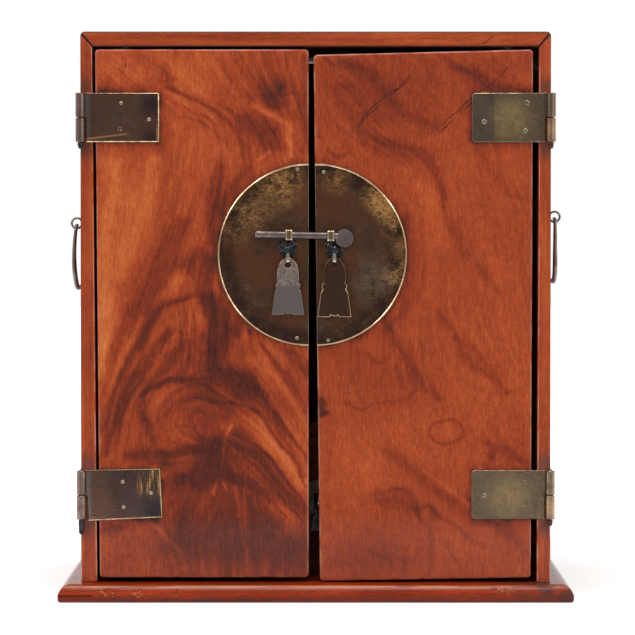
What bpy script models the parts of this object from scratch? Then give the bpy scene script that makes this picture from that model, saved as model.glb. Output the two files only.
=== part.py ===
"""Apothecary chest: a two-door hardwood table cabinet with a drawer, brass fittings and side bails.

Metres, +Z up. The front faces -Y and the origin is at the middle of the base's underside.
"""
import bpy
import bmesh
from math import atan2, cos, pi, radians, sin
from mathutils import Matrix, Vector

# Gap left between pieces that touch
FIT = 0.0003

# Base board
BASE_HEIGHT = 0.0118
BASE_OVERHANG = 0.0145
BASE_ROUND = 0.0085
BASE_FOOT_ROUND = 0.0018

# Case boards
CASE_WIDTH = 0.313
CASE_DEPTH = 0.226
CASE_HEIGHT = 0.3661
TOP_THICKNESS = 0.0100
SIDE_THICKNESS = 0.0084
LEFT_FOOT_EXTRA = 0.0024
RIGHT_FOOT_EXTRA = 0.0007
BACK_THICKNESS = 0.0060
BOARD_EDGE = 0.0006

# Doors: the right one has dropped at its free edge, and its meeting edge leans
DOOR_THICKNESS = 0.0120
DOOR_CORNER = 0.0022
DOOR_EDGE = 0.0008
DOOR_TOP_GAP = 0.0018
DOOR_FOOT_GAP = 0.0030
LEFT_SIDE_GAP = 0.0018
RIGHT_SIDE_GAP = 0.0040
LEFT_MEETING_X = -0.0047
RIGHT_MEETING_TOP_X = -0.0014
RIGHT_MEETING_FOOT_X = 0.0029
RIGHT_DROP_TOP = 0.0037
RIGHT_DROP_FOOT = 0.0024

# Hinges: the door leaf has the upper knuckle, the case leaf the lower one
PLATE_THICKNESS = 0.0012
HINGE_HEIGHT = 0.0325
HINGE_LEAF_LENGTH = 0.0490
HINGE_SIDE_LENGTH = 0.0340
HINGE_AXIS_INSET = 0.0006
KNUCKLE_RADIUS = 0.0031
KNUCKLE_GAP = 0.0004
HINGE_PIN_RADIUS = 0.0014
HINGE_PIN_PLAY = 0.00015
HINGE_PIN_TIP = 0.0046
UPPER_HINGE_DROP = 0.0470
LOWER_HINGE_RISE = 0.0585

# Lock plate, staples and pin
LOCK_PLATE_RADIUS = 0.0605
LOCK_PLATE_DROP = 0.1380
STAPLE_WIDTH = 0.0044
STAPLE_STRIP = 0.0009
STAPLE_LEFT_X = -0.0177
STAPLE_LEFT_RISE = 0.0132
STAPLE_RIGHT_X = 0.0100
STAPLE_RIGHT_RISE = 0.0126
LOCK_PIN_RADIUS = 0.00265
LOCK_PIN_PLAY = 0.00025
LOCK_PIN_STANDOFF = 0.0046
LOCK_PIN_TAIL_X = -0.0030
LOCK_PIN_HEAD_X = 0.0190
LOCK_PIN_HEAD_RADIUS = 0.0064
LOCK_PIN_HEAD_DROP = 0.0014
LOCK_PIN_HEAD_THICKNESS = 0.0020

# Pendants that the doors are pulled by
PENDANT_HEIGHT = 0.0375
PENDANT_HALF_WIDTH = 0.0107
PENDANT_THICKNESS = 0.0014
PENDANT_HOLE_RADIUS = 0.0020
PENDANT_HOLE_DROP = 0.0065
PENDANT_LEFT_X = -0.0184
PENDANT_RIGHT_X = 0.0124
PENDANT_RIGHT_SCALE = 1.04
PENDANT_EYE_RISE = 0.0044
EYE_WIRE_RADIUS = 0.0007
EYE_HALF_WIDTH = 0.0026
EYE_REACH = 0.0050
LINK_WIRE_RADIUS = 0.0005
LINK_HALF_WIDTH = 0.0017
LINK_PLAY = 0.0002
LINK_DROP = 0.0064

# Side bails
BAIL_EYE_FRONT = 0.0420
BAIL_EYE_DROP_LEFT = 0.1172
BAIL_EYE_DROP_RIGHT = 0.1128
BAIL_RING_RADIUS = 0.0035
BAIL_RING_WIRE = 0.00055
BAIL_RING_STANDOFF = 0.0054
BAIL_WASHER_RADIUS = 0.0036
BAIL_WASHER_THICKNESS = 0.0008
BAIL_STEM_RADIUS = 0.0010
BAIL_WIRE_RADIUS = 0.0016
BAIL_END_RADIUS = 0.0012
BAIL_END_LENGTH = 0.0034
BAIL_BEND = 0.0030
BAIL_DROP = 0.0425
BAIL_CORNER = 0.0140
BAIL_PLAY = 0.0003

# Shelf and drawer
INNER_SETBACK = 0.0380
SHELF_TOP_Z = 0.1150
SHELF_THICKNESS = 0.0080
DRAWER_GAP = 0.0006
DRAWER_FRONT_THICKNESS = 0.0100
DRAWER_WALL = 0.0060
DRAWER_BOTTOM = 0.0050
DRAWER_BACK_SPACE = 0.0020
DRAWER_PULL_X = 0.0020
DRAWER_PULL_Z = 0.0640
DRAWER_PULL_PLATE_RADIUS = 0.0120
DRAWER_DROP_SCALE = 0.52
DRAWER_LINK_DROP = 0.0031

# Places worked out from the sizes above
FRONT_Y = -CASE_DEPTH / 2
BACK_Y = CASE_DEPTH / 2
SIDE_X = CASE_WIDTH / 2
FOOT_Z = BASE_HEIGHT + FIT
CASE_TOP_Z = FOOT_Z + CASE_HEIGHT
OPENING_TOP_Z = CASE_TOP_Z - TOP_THICKNESS
SHELF_FRONT_Y = FRONT_Y + DOOR_THICKNESS + INNER_SETBACK
BACK_PANEL_Y = BACK_Y - BACK_THICKNESS
PLATE_BACK_Y = FRONT_Y - FIT
PLATE_FRONT_Y = PLATE_BACK_Y - PLATE_THICKNESS
HINGE_X = SIDE_X - HINGE_AXIS_INSET
HINGE_Y = FRONT_Y - FIT - KNUCKLE_RADIUS
LOCK_PIN_Y = PLATE_FRONT_Y - LOCK_PIN_STANDOFF
UPPER_HINGE_Z = OPENING_TOP_Z - UPPER_HINGE_DROP
LOWER_HINGE_Z = FOOT_Z + LOWER_HINGE_RISE
LOCK_PLATE_Z = OPENING_TOP_Z - LOCK_PLATE_DROP
STAPLE_LEFT_Z = LOCK_PLATE_Z + STAPLE_LEFT_RISE
STAPLE_RIGHT_Z = LOCK_PLATE_Z + STAPLE_RIGHT_RISE
PENDANT_EYE_Z = LOCK_PLATE_Z + PENDANT_EYE_RISE
BAIL_EYE_Z_LEFT = OPENING_TOP_Z - BAIL_EYE_DROP_LEFT
BAIL_EYE_Z_RIGHT = OPENING_TOP_Z - BAIL_EYE_DROP_RIGHT

COLLECTION = bpy.data.collections.new("apothecary_chest")
CUTTERS = bpy.data.collections.new("cutters")


def clear_scene():
    for old in list(bpy.data.objects):
        bpy.data.objects.remove(old, do_unlink=True)
    for group in (COLLECTION, CUTTERS):
        bpy.context.scene.collection.children.link(group)


def make_material(name, colour, roughness, metallic=0.0):
    material = bpy.data.materials.new(name)
    material.use_nodes = True
    shader = material.node_tree.nodes["Principled BSDF"]
    shader.inputs["Base Color"].default_value = (*colour, 1.0)
    shader.inputs["Roughness"].default_value = roughness
    shader.inputs["Metallic"].default_value = metallic
    material.diffuse_color = (*colour, 1.0)
    return material


def make_materials():
    return {
        "case_wood": make_material("case_wood", (0.27, 0.055, 0.018), 0.35),
        "door_wood": make_material("door_wood", (0.34, 0.085, 0.022), 0.32),
        "inner_wood": make_material("inner_wood", (0.18, 0.060, 0.025), 0.55),
        "plate_bronze": make_material("plate_bronze", (0.10, 0.060, 0.030), 0.38, 1.0),
        "hinge_brass": make_material("hinge_brass", (0.16, 0.115, 0.055), 0.36, 1.0),
        "pale_brass": make_material("pale_brass", (0.45, 0.31, 0.13), 0.30, 1.0),
        "grey_metal": make_material("grey_metal", (0.22, 0.18, 0.16), 0.30, 1.0),
        "dark_iron": make_material("dark_iron", (0.05, 0.045, 0.045), 0.45, 1.0),
    }


def joint_empty(name, place):
    empty = bpy.data.objects.new(name, None)
    empty.location = place
    empty.empty_display_size = 0.02
    COLLECTION.objects.link(empty)
    return empty


def hang_on(piece, empty):
    """Parent a piece to a joint's empty and keep it where it is."""
    piece.parent = empty
    piece.matrix_parent_inverse = Matrix.Translation(empty.location).inverted()


def add_piece(name, mesh, material, smooth=False, cutter=False):
    piece = bpy.data.objects.new(name, mesh)
    if smooth:
        mesh.shade_smooth()
        mesh.set_sharp_from_angle(angle=radians(35))
    if cutter:
        CUTTERS.objects.link(piece)
        piece.hide_render = True
        piece.display_type = "WIRE"
    else:
        COLLECTION.objects.link(piece)
        mesh.materials.append(material)
    return piece


def mesh_from(name, work):
    mesh = bpy.data.meshes.new(name)
    work.normal_update()
    work.to_mesh(mesh)
    work.free()
    return mesh


def box(name, low, high, material=None, edge=0.0, cutter=False):
    """A board between two corners, with its edges eased by a small bevel."""
    size = Vector(high) - Vector(low)
    middle = (Vector(high) + Vector(low)) / 2
    work = bmesh.new()
    bmesh.ops.create_cube(work, size=1.0, matrix=Matrix.Translation(middle) @ Matrix.Diagonal((*size, 1.0)))
    piece = add_piece(name, mesh_from(name, work), material, cutter=cutter)
    if edge:
        ease_edges(piece, edge)
    return piece


def ease_edges(piece, width, segments=1):
    bevel = piece.modifiers.new("eased_edges", "BEVEL")
    bevel.width = width
    bevel.segments = segments
    bevel.limit_method = "ANGLE"
    bevel.angle_limit = radians(40)


def rod(name, start, end, radius, material=None, sides=16, smooth=True, cutter=False):
    """A solid cylinder from start to end."""
    start = Vector(start)
    run = Vector(end) - start
    turn = run.to_track_quat("Z", "Y").to_matrix().to_4x4()
    place = Matrix.Translation(start + run / 2) @ turn
    work = bmesh.new()
    bmesh.ops.create_cone(
        work, cap_ends=True, segments=sides, radius1=radius, radius2=radius, depth=run.length, matrix=place
    )
    return add_piece(name, mesh_from(name, work), material, smooth=smooth, cutter=cutter)


def boolean(piece, operand, operation):
    cut = piece.modifiers.new(operation.lower(), "BOOLEAN")
    cut.operation = operation
    cut.object = operand


def mesh_of_curve(name, curve, material, place, smooth=False, cutter=False):
    """Turn a curve into a closed mesh piece with its caps welded."""
    guide = bpy.data.objects.new(name + "_guide", curve)
    bpy.context.scene.collection.objects.link(guide)
    guide.matrix_world = place
    depsgraph = bpy.context.evaluated_depsgraph_get()
    mesh = bpy.data.meshes.new_from_object(guide.evaluated_get(depsgraph))
    bpy.data.objects.remove(guide, do_unlink=True)
    work = bmesh.new()
    work.from_mesh(mesh)
    bmesh.ops.remove_doubles(work, verts=work.verts, dist=1e-6)
    bmesh.ops.recalc_face_normals(work, faces=work.faces)
    bmesh.ops.transform(work, matrix=place, verts=work.verts)
    work.to_mesh(mesh)
    work.free()
    mesh.name = name
    mesh.materials.clear()
    return add_piece(name, mesh, material, smooth=smooth, cutter=cutter)


def add_spline(curve, points, radii=None, cyclic=True):
    spline = curve.splines.new("POLY")
    spline.points.add(len(points) - 1)
    for index, point in enumerate(points):
        spline.points[index].co = (*point, 1.0)
        if radii:
            spline.points[index].radius = radii[index]
    spline.use_cyclic_u = cyclic


def slab(name, outlines, place, thickness, material=None, smooth=False, cutter=False):
    """A flat piece from closed outlines, the first one outside and any others holes."""
    curve = bpy.data.curves.new(name, "CURVE")
    curve.dimensions = "2D"
    curve.fill_mode = "BOTH"
    curve.extrude = thickness / 2
    for outline in outlines:
        add_spline(curve, [(*point, 0.0) for point in outline])
    return mesh_of_curve(name, curve, material, place, smooth, cutter)


def facing_front(y_middle, x=0.0, z=0.0):
    """Place an outline drawn as (x, z) in an upright plane that faces the front."""
    return Matrix.Translation((x, y_middle, z)) @ Matrix.Rotation(pi / 2, 4, "X")


def wire(name, points, radius, material, radii=None, cyclic=False):
    curve = bpy.data.curves.new(name, "CURVE")
    curve.dimensions = "3D"
    curve.bevel_depth = radius
    curve.bevel_resolution = 2
    curve.use_fill_caps = not cyclic
    add_spline(curve, points, radii, cyclic)
    return mesh_of_curve(name, curve, material, Matrix.Identity(4), smooth=True)


def arc(centre, radius, start_deg, end_deg, steps):
    angles = [radians(start_deg + (end_deg - start_deg) * i / steps) for i in range(steps + 1)]
    return [(centre[0] + radius * cos(a), centre[1] + radius * sin(a)) for a in angles]


def rounded(corners, radius, steps=3):
    """An outline whose corners are rounded off."""
    points = []
    count = len(corners)
    for index in range(count):
        here = Vector(corners[index])
        before = (Vector(corners[index - 1]) - here).normalized()
        after = (Vector(corners[(index + 1) % count]) - here).normalized()
        start = here + before * radius
        end = here + after * radius
        for step in range(steps + 1):
            t = step / steps
            points.append(tuple(start * (1 - t) ** 2 + here * 2 * t * (1 - t) + end * t ** 2))
    return points


def side_inner_x(side, z):
    """Inner face of a side board at a height: each board is a little thicker at its foot."""
    extra = LEFT_FOOT_EXTRA if side < 0 else RIGHT_FOOT_EXTRA
    share = (OPENING_TOP_Z - z) / (OPENING_TOP_Z - FOOT_Z)
    return side * (SIDE_X - SIDE_THICKNESS - extra * share)


def build_base(mats):
    half_x = SIDE_X + BASE_OVERHANG
    half_y = CASE_DEPTH / 2 + BASE_OVERHANG
    base = box("base_board", (-half_x, -half_y, 0.0), (half_x, half_y, BASE_HEIGHT), mats["case_wood"])
    work = bmesh.new()
    work.from_mesh(base.data)
    for level, width, segments in ((BASE_HEIGHT, BASE_ROUND, 6), (0.0, BASE_FOOT_ROUND, 2)):
        rim = [e for e in work.edges if all(abs(v.co.z - level) < FIT for v in e.verts)]
        bmesh.ops.bevel(work, geom=rim, offset=width, segments=segments, profile=0.5, affect="EDGES")
    work.to_mesh(base.data)
    work.free()
    base.data.shade_smooth()
    base.data.set_sharp_from_angle(angle=radians(35))


def build_case(mats):
    middle_y = (FRONT_Y + BACK_Y) / 2
    mitre = FIT / 2
    for side, name in ((-1, "side_left"), (1, "side_right")):
        top_x = side_inner_x(side, OPENING_TOP_Z)
        foot_x = side_inner_x(side, FOOT_Z)
        outer_x = side * SIDE_X
        outline = [
            (outer_x, FOOT_Z),
            (outer_x, CASE_TOP_Z - mitre),
            (top_x, OPENING_TOP_Z - mitre),
            (foot_x, FOOT_Z),
        ]
        board = slab(name, [outline], facing_front(middle_y), CASE_DEPTH, mats["case_wood"])
        ease_edges(board, BOARD_EDGE)
    top = [
        (-SIDE_X + mitre, CASE_TOP_Z),
        (SIDE_X - mitre, CASE_TOP_Z),
        (side_inner_x(1, OPENING_TOP_Z) - mitre, OPENING_TOP_Z),
        (side_inner_x(-1, OPENING_TOP_Z) + mitre, OPENING_TOP_Z),
    ]
    board = slab("top_board", [top], facing_front(middle_y), CASE_DEPTH, mats["case_wood"])
    ease_edges(board, BOARD_EDGE)
    back = [
        (side_inner_x(-1, FOOT_Z) + FIT, FOOT_Z),
        (side_inner_x(1, FOOT_Z) - FIT, FOOT_Z),
        (side_inner_x(1, OPENING_TOP_Z) - FIT, OPENING_TOP_Z - FIT),
        (side_inner_x(-1, OPENING_TOP_Z) + FIT, OPENING_TOP_Z - FIT),
    ]
    back_middle = BACK_PANEL_Y + BACK_THICKNESS / 2
    slab("back_panel", [back], facing_front(back_middle), BACK_THICKNESS, mats["inner_wood"])
    shelf_foot_z = SHELF_TOP_Z - SHELF_THICKNESS
    box(
        "drawer_shelf",
        (side_inner_x(-1, shelf_foot_z) + FIT, SHELF_FRONT_Y, shelf_foot_z),
        (side_inner_x(1, shelf_foot_z) - FIT, BACK_PANEL_Y - FIT, SHELF_TOP_Z),
        mats["inner_wood"],
        edge=BOARD_EDGE,
    )


def meeting_x(side, z):
    """Meeting edge of a door at a height."""
    if side < 0:
        return LEFT_MEETING_X
    top_z = OPENING_TOP_Z - DOOR_TOP_GAP - RIGHT_DROP_TOP
    foot_z = FOOT_Z + DOOR_FOOT_GAP - RIGHT_DROP_FOOT
    share = (top_z - z) / (top_z - foot_z)
    return RIGHT_MEETING_TOP_X + (RIGHT_MEETING_FOOT_X - RIGHT_MEETING_TOP_X) * share


def build_door(side, name, empty, mats):
    top_z = OPENING_TOP_Z - DOOR_TOP_GAP
    foot_z = FOOT_Z + DOOR_FOOT_GAP
    drop_top = RIGHT_DROP_TOP if side > 0 else 0.0
    drop_foot = RIGHT_DROP_FOOT if side > 0 else 0.0
    gap = LEFT_SIDE_GAP if side < 0 else RIGHT_SIDE_GAP
    corners = [
        (side_inner_x(side, foot_z) - side * gap, foot_z),
        (meeting_x(side, foot_z - drop_foot), foot_z - drop_foot),
        (meeting_x(side, top_z - drop_top), top_z - drop_top),
        (side_inner_x(side, top_z) - side * gap, top_z),
    ]
    middle = FRONT_Y + DOOR_THICKNESS / 2
    outline = rounded(corners, DOOR_CORNER)
    door = slab(name, [outline], facing_front(middle), DOOR_THICKNESS, mats["door_wood"])
    ease_edges(door, DOOR_EDGE, segments=2)
    hang_on(door, empty)


def build_hinge(side, middle_z, name, empty, mats):
    axis_x = side * HINGE_X
    low_z = middle_z - HINGE_HEIGHT / 2
    high_z = middle_z + HINGE_HEIGHT / 2
    door_knuckle_z = middle_z + KNUCKLE_GAP / 2
    case_knuckle_z = middle_z - KNUCKLE_GAP / 2
    clear = KNUCKLE_RADIUS + KNUCKLE_GAP
    bore = HINGE_PIN_RADIUS + HINGE_PIN_PLAY

    def leaf(leaf_name, plate, tab, knuckle_low, knuckle_high):
        piece = box(leaf_name, *plate, mats["hinge_brass"])
        joined = box(leaf_name + "_tab", *tab, cutter=True)
        knuckle = rod(
            leaf_name + "_knuckle", (axis_x, HINGE_Y, knuckle_low), (axis_x, HINGE_Y, knuckle_high),
            KNUCKLE_RADIUS, cutter=True,
        )
        hole = rod(
            leaf_name + "_bore", (axis_x, HINGE_Y, low_z - clear), (axis_x, HINGE_Y, high_z + clear),
            bore, cutter=True,
        )
        boolean(piece, joined, "UNION")
        boolean(piece, knuckle, "UNION")
        boolean(piece, hole, "DIFFERENCE")
        return piece

    def corners(*spans):
        return tuple(min(span) for span in spans), tuple(max(span) for span in spans)

    near_x = axis_x - side * clear
    far_x = axis_x - side * (HINGE_LEAF_LENGTH + KNUCKLE_RADIUS)
    door_ys = (PLATE_FRONT_Y, PLATE_BACK_Y)
    door_leaf = leaf(
        name + "_door_leaf",
        corners((near_x, far_x), door_ys, (low_z, high_z)),
        corners((axis_x - side * bore, near_x - side * clear), door_ys, (door_knuckle_z, high_z)),
        door_knuckle_z,
        high_z,
    )
    hang_on(door_leaf, empty)

    inner_x = side * (SIDE_X + FIT)
    outer_x = side * (SIDE_X + FIT + PLATE_THICKNESS)
    near_y = HINGE_Y + clear
    leaf(
        name + "_case_leaf",
        corners((inner_x, outer_x), (near_y, FRONT_Y + HINGE_SIDE_LENGTH), (low_z, high_z)),
        corners((inner_x, outer_x), (HINGE_Y + bore, near_y + clear), (low_z, case_knuckle_z)),
        low_z,
        case_knuckle_z,
    )
    rod(
        name + "_pin", (axis_x, HINGE_Y, low_z - HINGE_PIN_TIP), (axis_x, HINGE_Y, high_z),
        HINGE_PIN_RADIUS, mats["dark_iron"],
    )


def build_lock_plate(side, name, empty, mats):
    top = meeting_x(side, LOCK_PLATE_Z + LOCK_PLATE_RADIUS)
    foot = meeting_x(side, LOCK_PLATE_Z - LOCK_PLATE_RADIUS)
    lean = atan2(top - foot, 2 * LOCK_PLATE_RADIUS) * 180 / pi
    centre = (meeting_x(side, LOCK_PLATE_Z), LOCK_PLATE_Z)
    start = 90 - lean
    outline = arc(centre, LOCK_PLATE_RADIUS, start, start - side * 180, 40)
    middle = (PLATE_FRONT_Y + PLATE_BACK_Y) / 2
    plate = slab(name, [outline], facing_front(middle), PLATE_THICKNESS, mats["plate_bronze"])
    hang_on(plate, empty)


def build_staple(x, z, name, empty, mats):
    """A strip bent round the pin, with its two legs set in the lock plate."""
    inner = LOCK_PIN_RADIUS + LOCK_PIN_PLAY
    outer = inner + STAPLE_STRIP
    seat = PLATE_FRONT_Y - FIT
    front = LOCK_PIN_Y - inner
    outline = [
        (seat, outer),
        (front - STAPLE_STRIP, outer),
        (front - STAPLE_STRIP, -outer),
        (seat, -outer),
        (seat, -inner),
        (front, -inner),
        (front, inner),
        (seat, inner),
    ]
    upright = Matrix(((0, 0, 1, x), (1, 0, 0, 0), (0, 1, 0, z), (0, 0, 0, 1)))
    staple = slab(name, [outline], upright, STAPLE_WIDTH, mats["pale_brass"])
    hang_on(staple, empty)


def build_lock_pin(empty, mats):
    slope = (STAPLE_RIGHT_Z - STAPLE_LEFT_Z) / (STAPLE_RIGHT_X - STAPLE_LEFT_X)

    def on_axis(x):
        return (x, LOCK_PIN_Y, STAPLE_LEFT_Z + slope * (x - STAPLE_LEFT_X))

    tail = on_axis(LOCK_PIN_TAIL_X)
    neck = on_axis(LOCK_PIN_HEAD_X)
    pin = rod("lock_pin", tail, neck, LOCK_PIN_RADIUS, mats["grey_metal"])
    middle = Vector(neck) - Vector((0.0, 0.0, LOCK_PIN_HEAD_DROP))
    half = Vector((0.0, LOCK_PIN_HEAD_THICKNESS / 2, 0.0))
    head = rod("lock_pin_head", middle - half, middle + half, LOCK_PIN_HEAD_RADIUS, sides=28, cutter=True)
    boolean(pin, head, "UNION")
    hang_on(pin, empty)


def pendant_outline(scale):
    """Half outline of a pendant, in shares of its half width and height, mirrored to both sides."""
    half = [
        (0.24, -0.015), (0.49, -0.085), (0.64, -0.20), (0.68, -0.32), (0.68, -0.385),
        (0.62, -0.43), (0.75, -0.465), (0.76, -0.50), (0.67, -0.535), (0.78, -0.575),
        (0.87, -0.72), (1.00, -1.00), (0.30, -1.00), (0.19, -0.962), (0.08, -0.995),
    ]
    width = PENDANT_HALF_WIDTH * scale
    height = PENDANT_HEIGHT * scale
    right = [(x * width, z * height) for x, z in half]
    left = [(-x, z) for x, z in reversed(right)]
    return [(0.0, 0.0)] + right + left


def build_drop(x, eye_z, seat_y, names, sizes, carrier, swing, mats, finish):
    """An eye in a plate, a link that hangs on it and the pendant on the link."""
    eye_name, link_name, drop_name = names
    scale, link_drop = sizes
    front_y = seat_y - EYE_REACH
    turn_y = front_y + EYE_HALF_WIDTH
    bow = [(x + px, turn_y - py, eye_z) for px, py in arc((0, 0), EYE_HALF_WIDTH, 180, 0, 8)]
    legs = [(x - EYE_HALF_WIDTH, seat_y - FIT, eye_z)] + bow + [(x + EYE_HALF_WIDTH, seat_y - FIT, eye_z)]
    eye = wire(eye_name, legs, EYE_WIRE_RADIUS, mats["dark_iron"])
    hang_on(eye, carrier)

    hole_radius = PENDANT_HOLE_RADIUS * max(scale, 0.8)
    hole_drop = PENDANT_HOLE_DROP * max(scale, 0.7)
    half = LINK_HALF_WIDTH
    upper_z = eye_z + EYE_WIRE_RADIUS + LINK_WIRE_RADIUS + LINK_PLAY - half
    pendant_top_z = eye_z - link_drop
    hole_z = pendant_top_z - hole_drop
    lower_z = hole_z + hole_radius - LINK_PLAY - LINK_WIRE_RADIUS + half - LINK_WIRE_RADIUS
    loop = arc((front_y, upper_z), half, 0, 180, 8) + arc((front_y, lower_z), half, 180, 360, 8)
    link = wire(link_name, [(x, y, z) for y, z in loop], LINK_WIRE_RADIUS, mats["grey_metal"], cyclic=True)
    hang_on(link, swing)

    hole = arc((0.0, -hole_drop), hole_radius, 360, 0, 16)[:-1]
    place = facing_front(front_y, x, pendant_top_z)
    drop = slab(drop_name, [pendant_outline(scale), hole], place, PENDANT_THICKNESS, mats[finish])
    hang_on(drop, swing)


def bail_pivot(side):
    eye_z = BAIL_EYE_Z_LEFT if side < 0 else BAIL_EYE_Z_RIGHT
    hole = BAIL_RING_RADIUS - BAIL_RING_WIRE
    drop = hole - BAIL_END_RADIUS - BAIL_PLAY
    return Vector((side * (SIDE_X + BAIL_RING_STANDOFF), 0.0, eye_z - drop))


def build_bail_eye(side, y, name, mats):
    eye_z = BAIL_EYE_Z_LEFT if side < 0 else BAIL_EYE_Z_RIGHT
    ring_x = side * (SIDE_X + BAIL_RING_STANDOFF)
    circle = arc((ring_x, eye_z), BAIL_RING_RADIUS, 0, 360, 20)[:-1]
    eye = wire(name, [(px, y, pz) for px, pz in circle], BAIL_RING_WIRE, mats["dark_iron"], cyclic=True)
    face_x = side * (SIDE_X + FIT)
    washer_x = face_x + side * BAIL_WASHER_THICKNESS
    ring_edge_x = ring_x - side * BAIL_RING_RADIUS
    washer = rod(name + "_washer", (face_x, y, eye_z), (washer_x, y, eye_z), BAIL_WASHER_RADIUS, cutter=True)
    stem = rod(name + "_stem", (face_x + side * FIT, y, eye_z), (ring_edge_x, y, eye_z), BAIL_STEM_RADIUS,
               sides=12, cutter=True)
    boolean(eye, stem, "UNION")
    boolean(eye, washer, "UNION")


def build_bail(side, name, empty, mats):
    """A wire handle whose ends turn inwards through the two eyes."""
    pivot = bail_pivot(side)
    eye_y = FRONT_Y + BAIL_EYE_FRONT
    leg_y = eye_y - BAIL_RING_WIRE - BAIL_END_RADIUS - BAIL_BEND
    end_y = eye_y + BAIL_END_LENGTH
    bend = arc((leg_y + BAIL_BEND, -BAIL_BEND), BAIL_BEND, 90, 180, 5)
    corner = arc((leg_y + BAIL_CORNER, BAIL_CORNER - BAIL_DROP), BAIL_CORNER, 180, 270, 6)
    front_half = [(end_y, 0.0)] + bend + corner
    ends = BAIL_END_RADIUS / BAIL_WIRE_RADIUS
    half_radii = [ends] * (len(bend) + 1) + [1.0] * len(corner)
    rear_half = [(-y, z) for y, z in reversed(front_half)]
    points = [(pivot.x, y, pivot.z + z) for y, z in front_half + rear_half]
    bail = wire(name, points, BAIL_WIRE_RADIUS, mats["dark_iron"], radii=half_radii + half_radii[::-1])
    hang_on(bail, empty)


def build_drawer(empty, drop_empty, mats):
    low_z = FOOT_Z
    high_z = SHELF_TOP_Z - SHELF_THICKNESS - DRAWER_GAP
    left_x = side_inner_x(-1, low_z) + DRAWER_GAP
    right_x = side_inner_x(1, low_z) - DRAWER_GAP
    front_y = SHELF_FRONT_Y
    front_back_y = front_y + DRAWER_FRONT_THICKNESS
    end_y = BACK_PANEL_Y - DRAWER_BACK_SPACE
    wood = mats["inner_wood"]
    wall_y = front_back_y + FIT
    inside_left = left_x + DRAWER_WALL
    inside_right = right_x - DRAWER_WALL
    back_y = end_y - DRAWER_WALL
    floor_left = inside_left + FIT
    floor_right = inside_right - FIT
    floor_y = back_y - FIT
    bottom_z = low_z + DRAWER_BOTTOM
    pieces = [
        box("drawer_front", (left_x, front_y, low_z), (right_x, front_back_y, high_z), wood, BOARD_EDGE),
        box("drawer_side_left", (left_x, wall_y, low_z), (inside_left, end_y, high_z), wood),
        box("drawer_side_right", (inside_right, wall_y, low_z), (right_x, end_y, high_z), wood),
        box("drawer_back", (floor_left, back_y, low_z), (floor_right, end_y, high_z), wood),
        box("drawer_bottom", (floor_left, wall_y, low_z), (floor_right, floor_y, bottom_z), wood),
    ]
    seat_y = SHELF_FRONT_Y - FIT
    plate = rod(
        "drawer_pull_plate",
        (DRAWER_PULL_X, seat_y - PLATE_THICKNESS, DRAWER_PULL_Z),
        (DRAWER_PULL_X, seat_y, DRAWER_PULL_Z),
        DRAWER_PULL_PLATE_RADIUS, mats["plate_bronze"], sides=32,
    )
    for piece in pieces + [plate]:
        hang_on(piece, empty)
    names = ("drawer_pull_eye", "drawer_pull_link", "drawer_pull_drop")
    build_drop(
        DRAWER_PULL_X, DRAWER_PULL_Z, seat_y - PLATE_THICKNESS, names,
        (DRAWER_DROP_SCALE, DRAWER_LINK_DROP), empty, drop_empty, mats, "grey_metal",
    )
    drop_empty.parent = empty
    drop_empty.matrix_parent_inverse = Matrix.Translation(empty.location).inverted()


def build():
    clear_scene()
    mats = make_materials()
    build_base(mats)
    build_case(mats)
    swing_y = PLATE_FRONT_Y - EYE_REACH
    for side, word in ((-1, "left"), (1, "right")):
        door_empty = joint_empty("door_" + word + "_axis", (side * HINGE_X, HINGE_Y, LOCK_PLATE_Z))
        build_door(side, "door_" + word, door_empty, mats)
        for level, height in (("upper", UPPER_HINGE_Z), ("lower", LOWER_HINGE_Z)):
            build_hinge(side, height, "hinge_" + word + "_" + level, door_empty, mats)
        build_lock_plate(side, "lock_plate_" + word, door_empty, mats)
        staple_x, staple_z = (
            (STAPLE_LEFT_X, STAPLE_LEFT_Z) if side < 0 else (STAPLE_RIGHT_X, STAPLE_RIGHT_Z)
        )
        build_staple(staple_x, staple_z, "lock_staple_" + word, door_empty, mats)
        pendant_x = PENDANT_LEFT_X if side < 0 else PENDANT_RIGHT_X
        pendant_empty = joint_empty("pendant_" + word + "_axis", (pendant_x, swing_y, PENDANT_EYE_Z))
        hang_on(pendant_empty, door_empty)
        names = ("pendant_eye_" + word, "pendant_link_" + word, "pendant_" + word)
        finish = "grey_metal" if side < 0 else "plate_bronze"
        sizes = (1.0 if side < 0 else PENDANT_RIGHT_SCALE, LINK_DROP)
        build_drop(
            pendant_x, PENDANT_EYE_Z, PLATE_FRONT_Y, names, sizes, door_empty, pendant_empty, mats, finish
        )
        bail_empty = joint_empty("bail_" + word + "_axis", bail_pivot(side))
        for place, y in (("front", FRONT_Y + BAIL_EYE_FRONT), ("rear", BACK_Y - BAIL_EYE_FRONT)):
            build_bail_eye(side, y, "bail_eye_" + word + "_" + place, mats)
        build_bail(side, "bail_" + word, bail_empty, mats)
        if side > 0:
            pin_empty = joint_empty("lock_pin_axis", (STAPLE_RIGHT_X, LOCK_PIN_Y, STAPLE_RIGHT_Z))
            hang_on(pin_empty, door_empty)
            build_lock_pin(pin_empty, mats)
    drawer_empty = joint_empty("drawer_axis", (0.0, SHELF_FRONT_Y, FOOT_Z))
    drop_y = SHELF_FRONT_Y - FIT - PLATE_THICKNESS - EYE_REACH
    drop_empty = joint_empty("drawer_drop_axis", (DRAWER_PULL_X, drop_y, DRAWER_PULL_Z))
    build_drawer(drawer_empty, drop_empty, mats)
    bpy.context.view_layer.update()


build()
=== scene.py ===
"""Looks of the apothecary chest: figured hardwood doors, worn brass fittings and a plain pale studio.

Metres, in the CAD model's own frame: +Z up, and the front faces -Y. Every piece is made in place.
"""
import math

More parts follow.
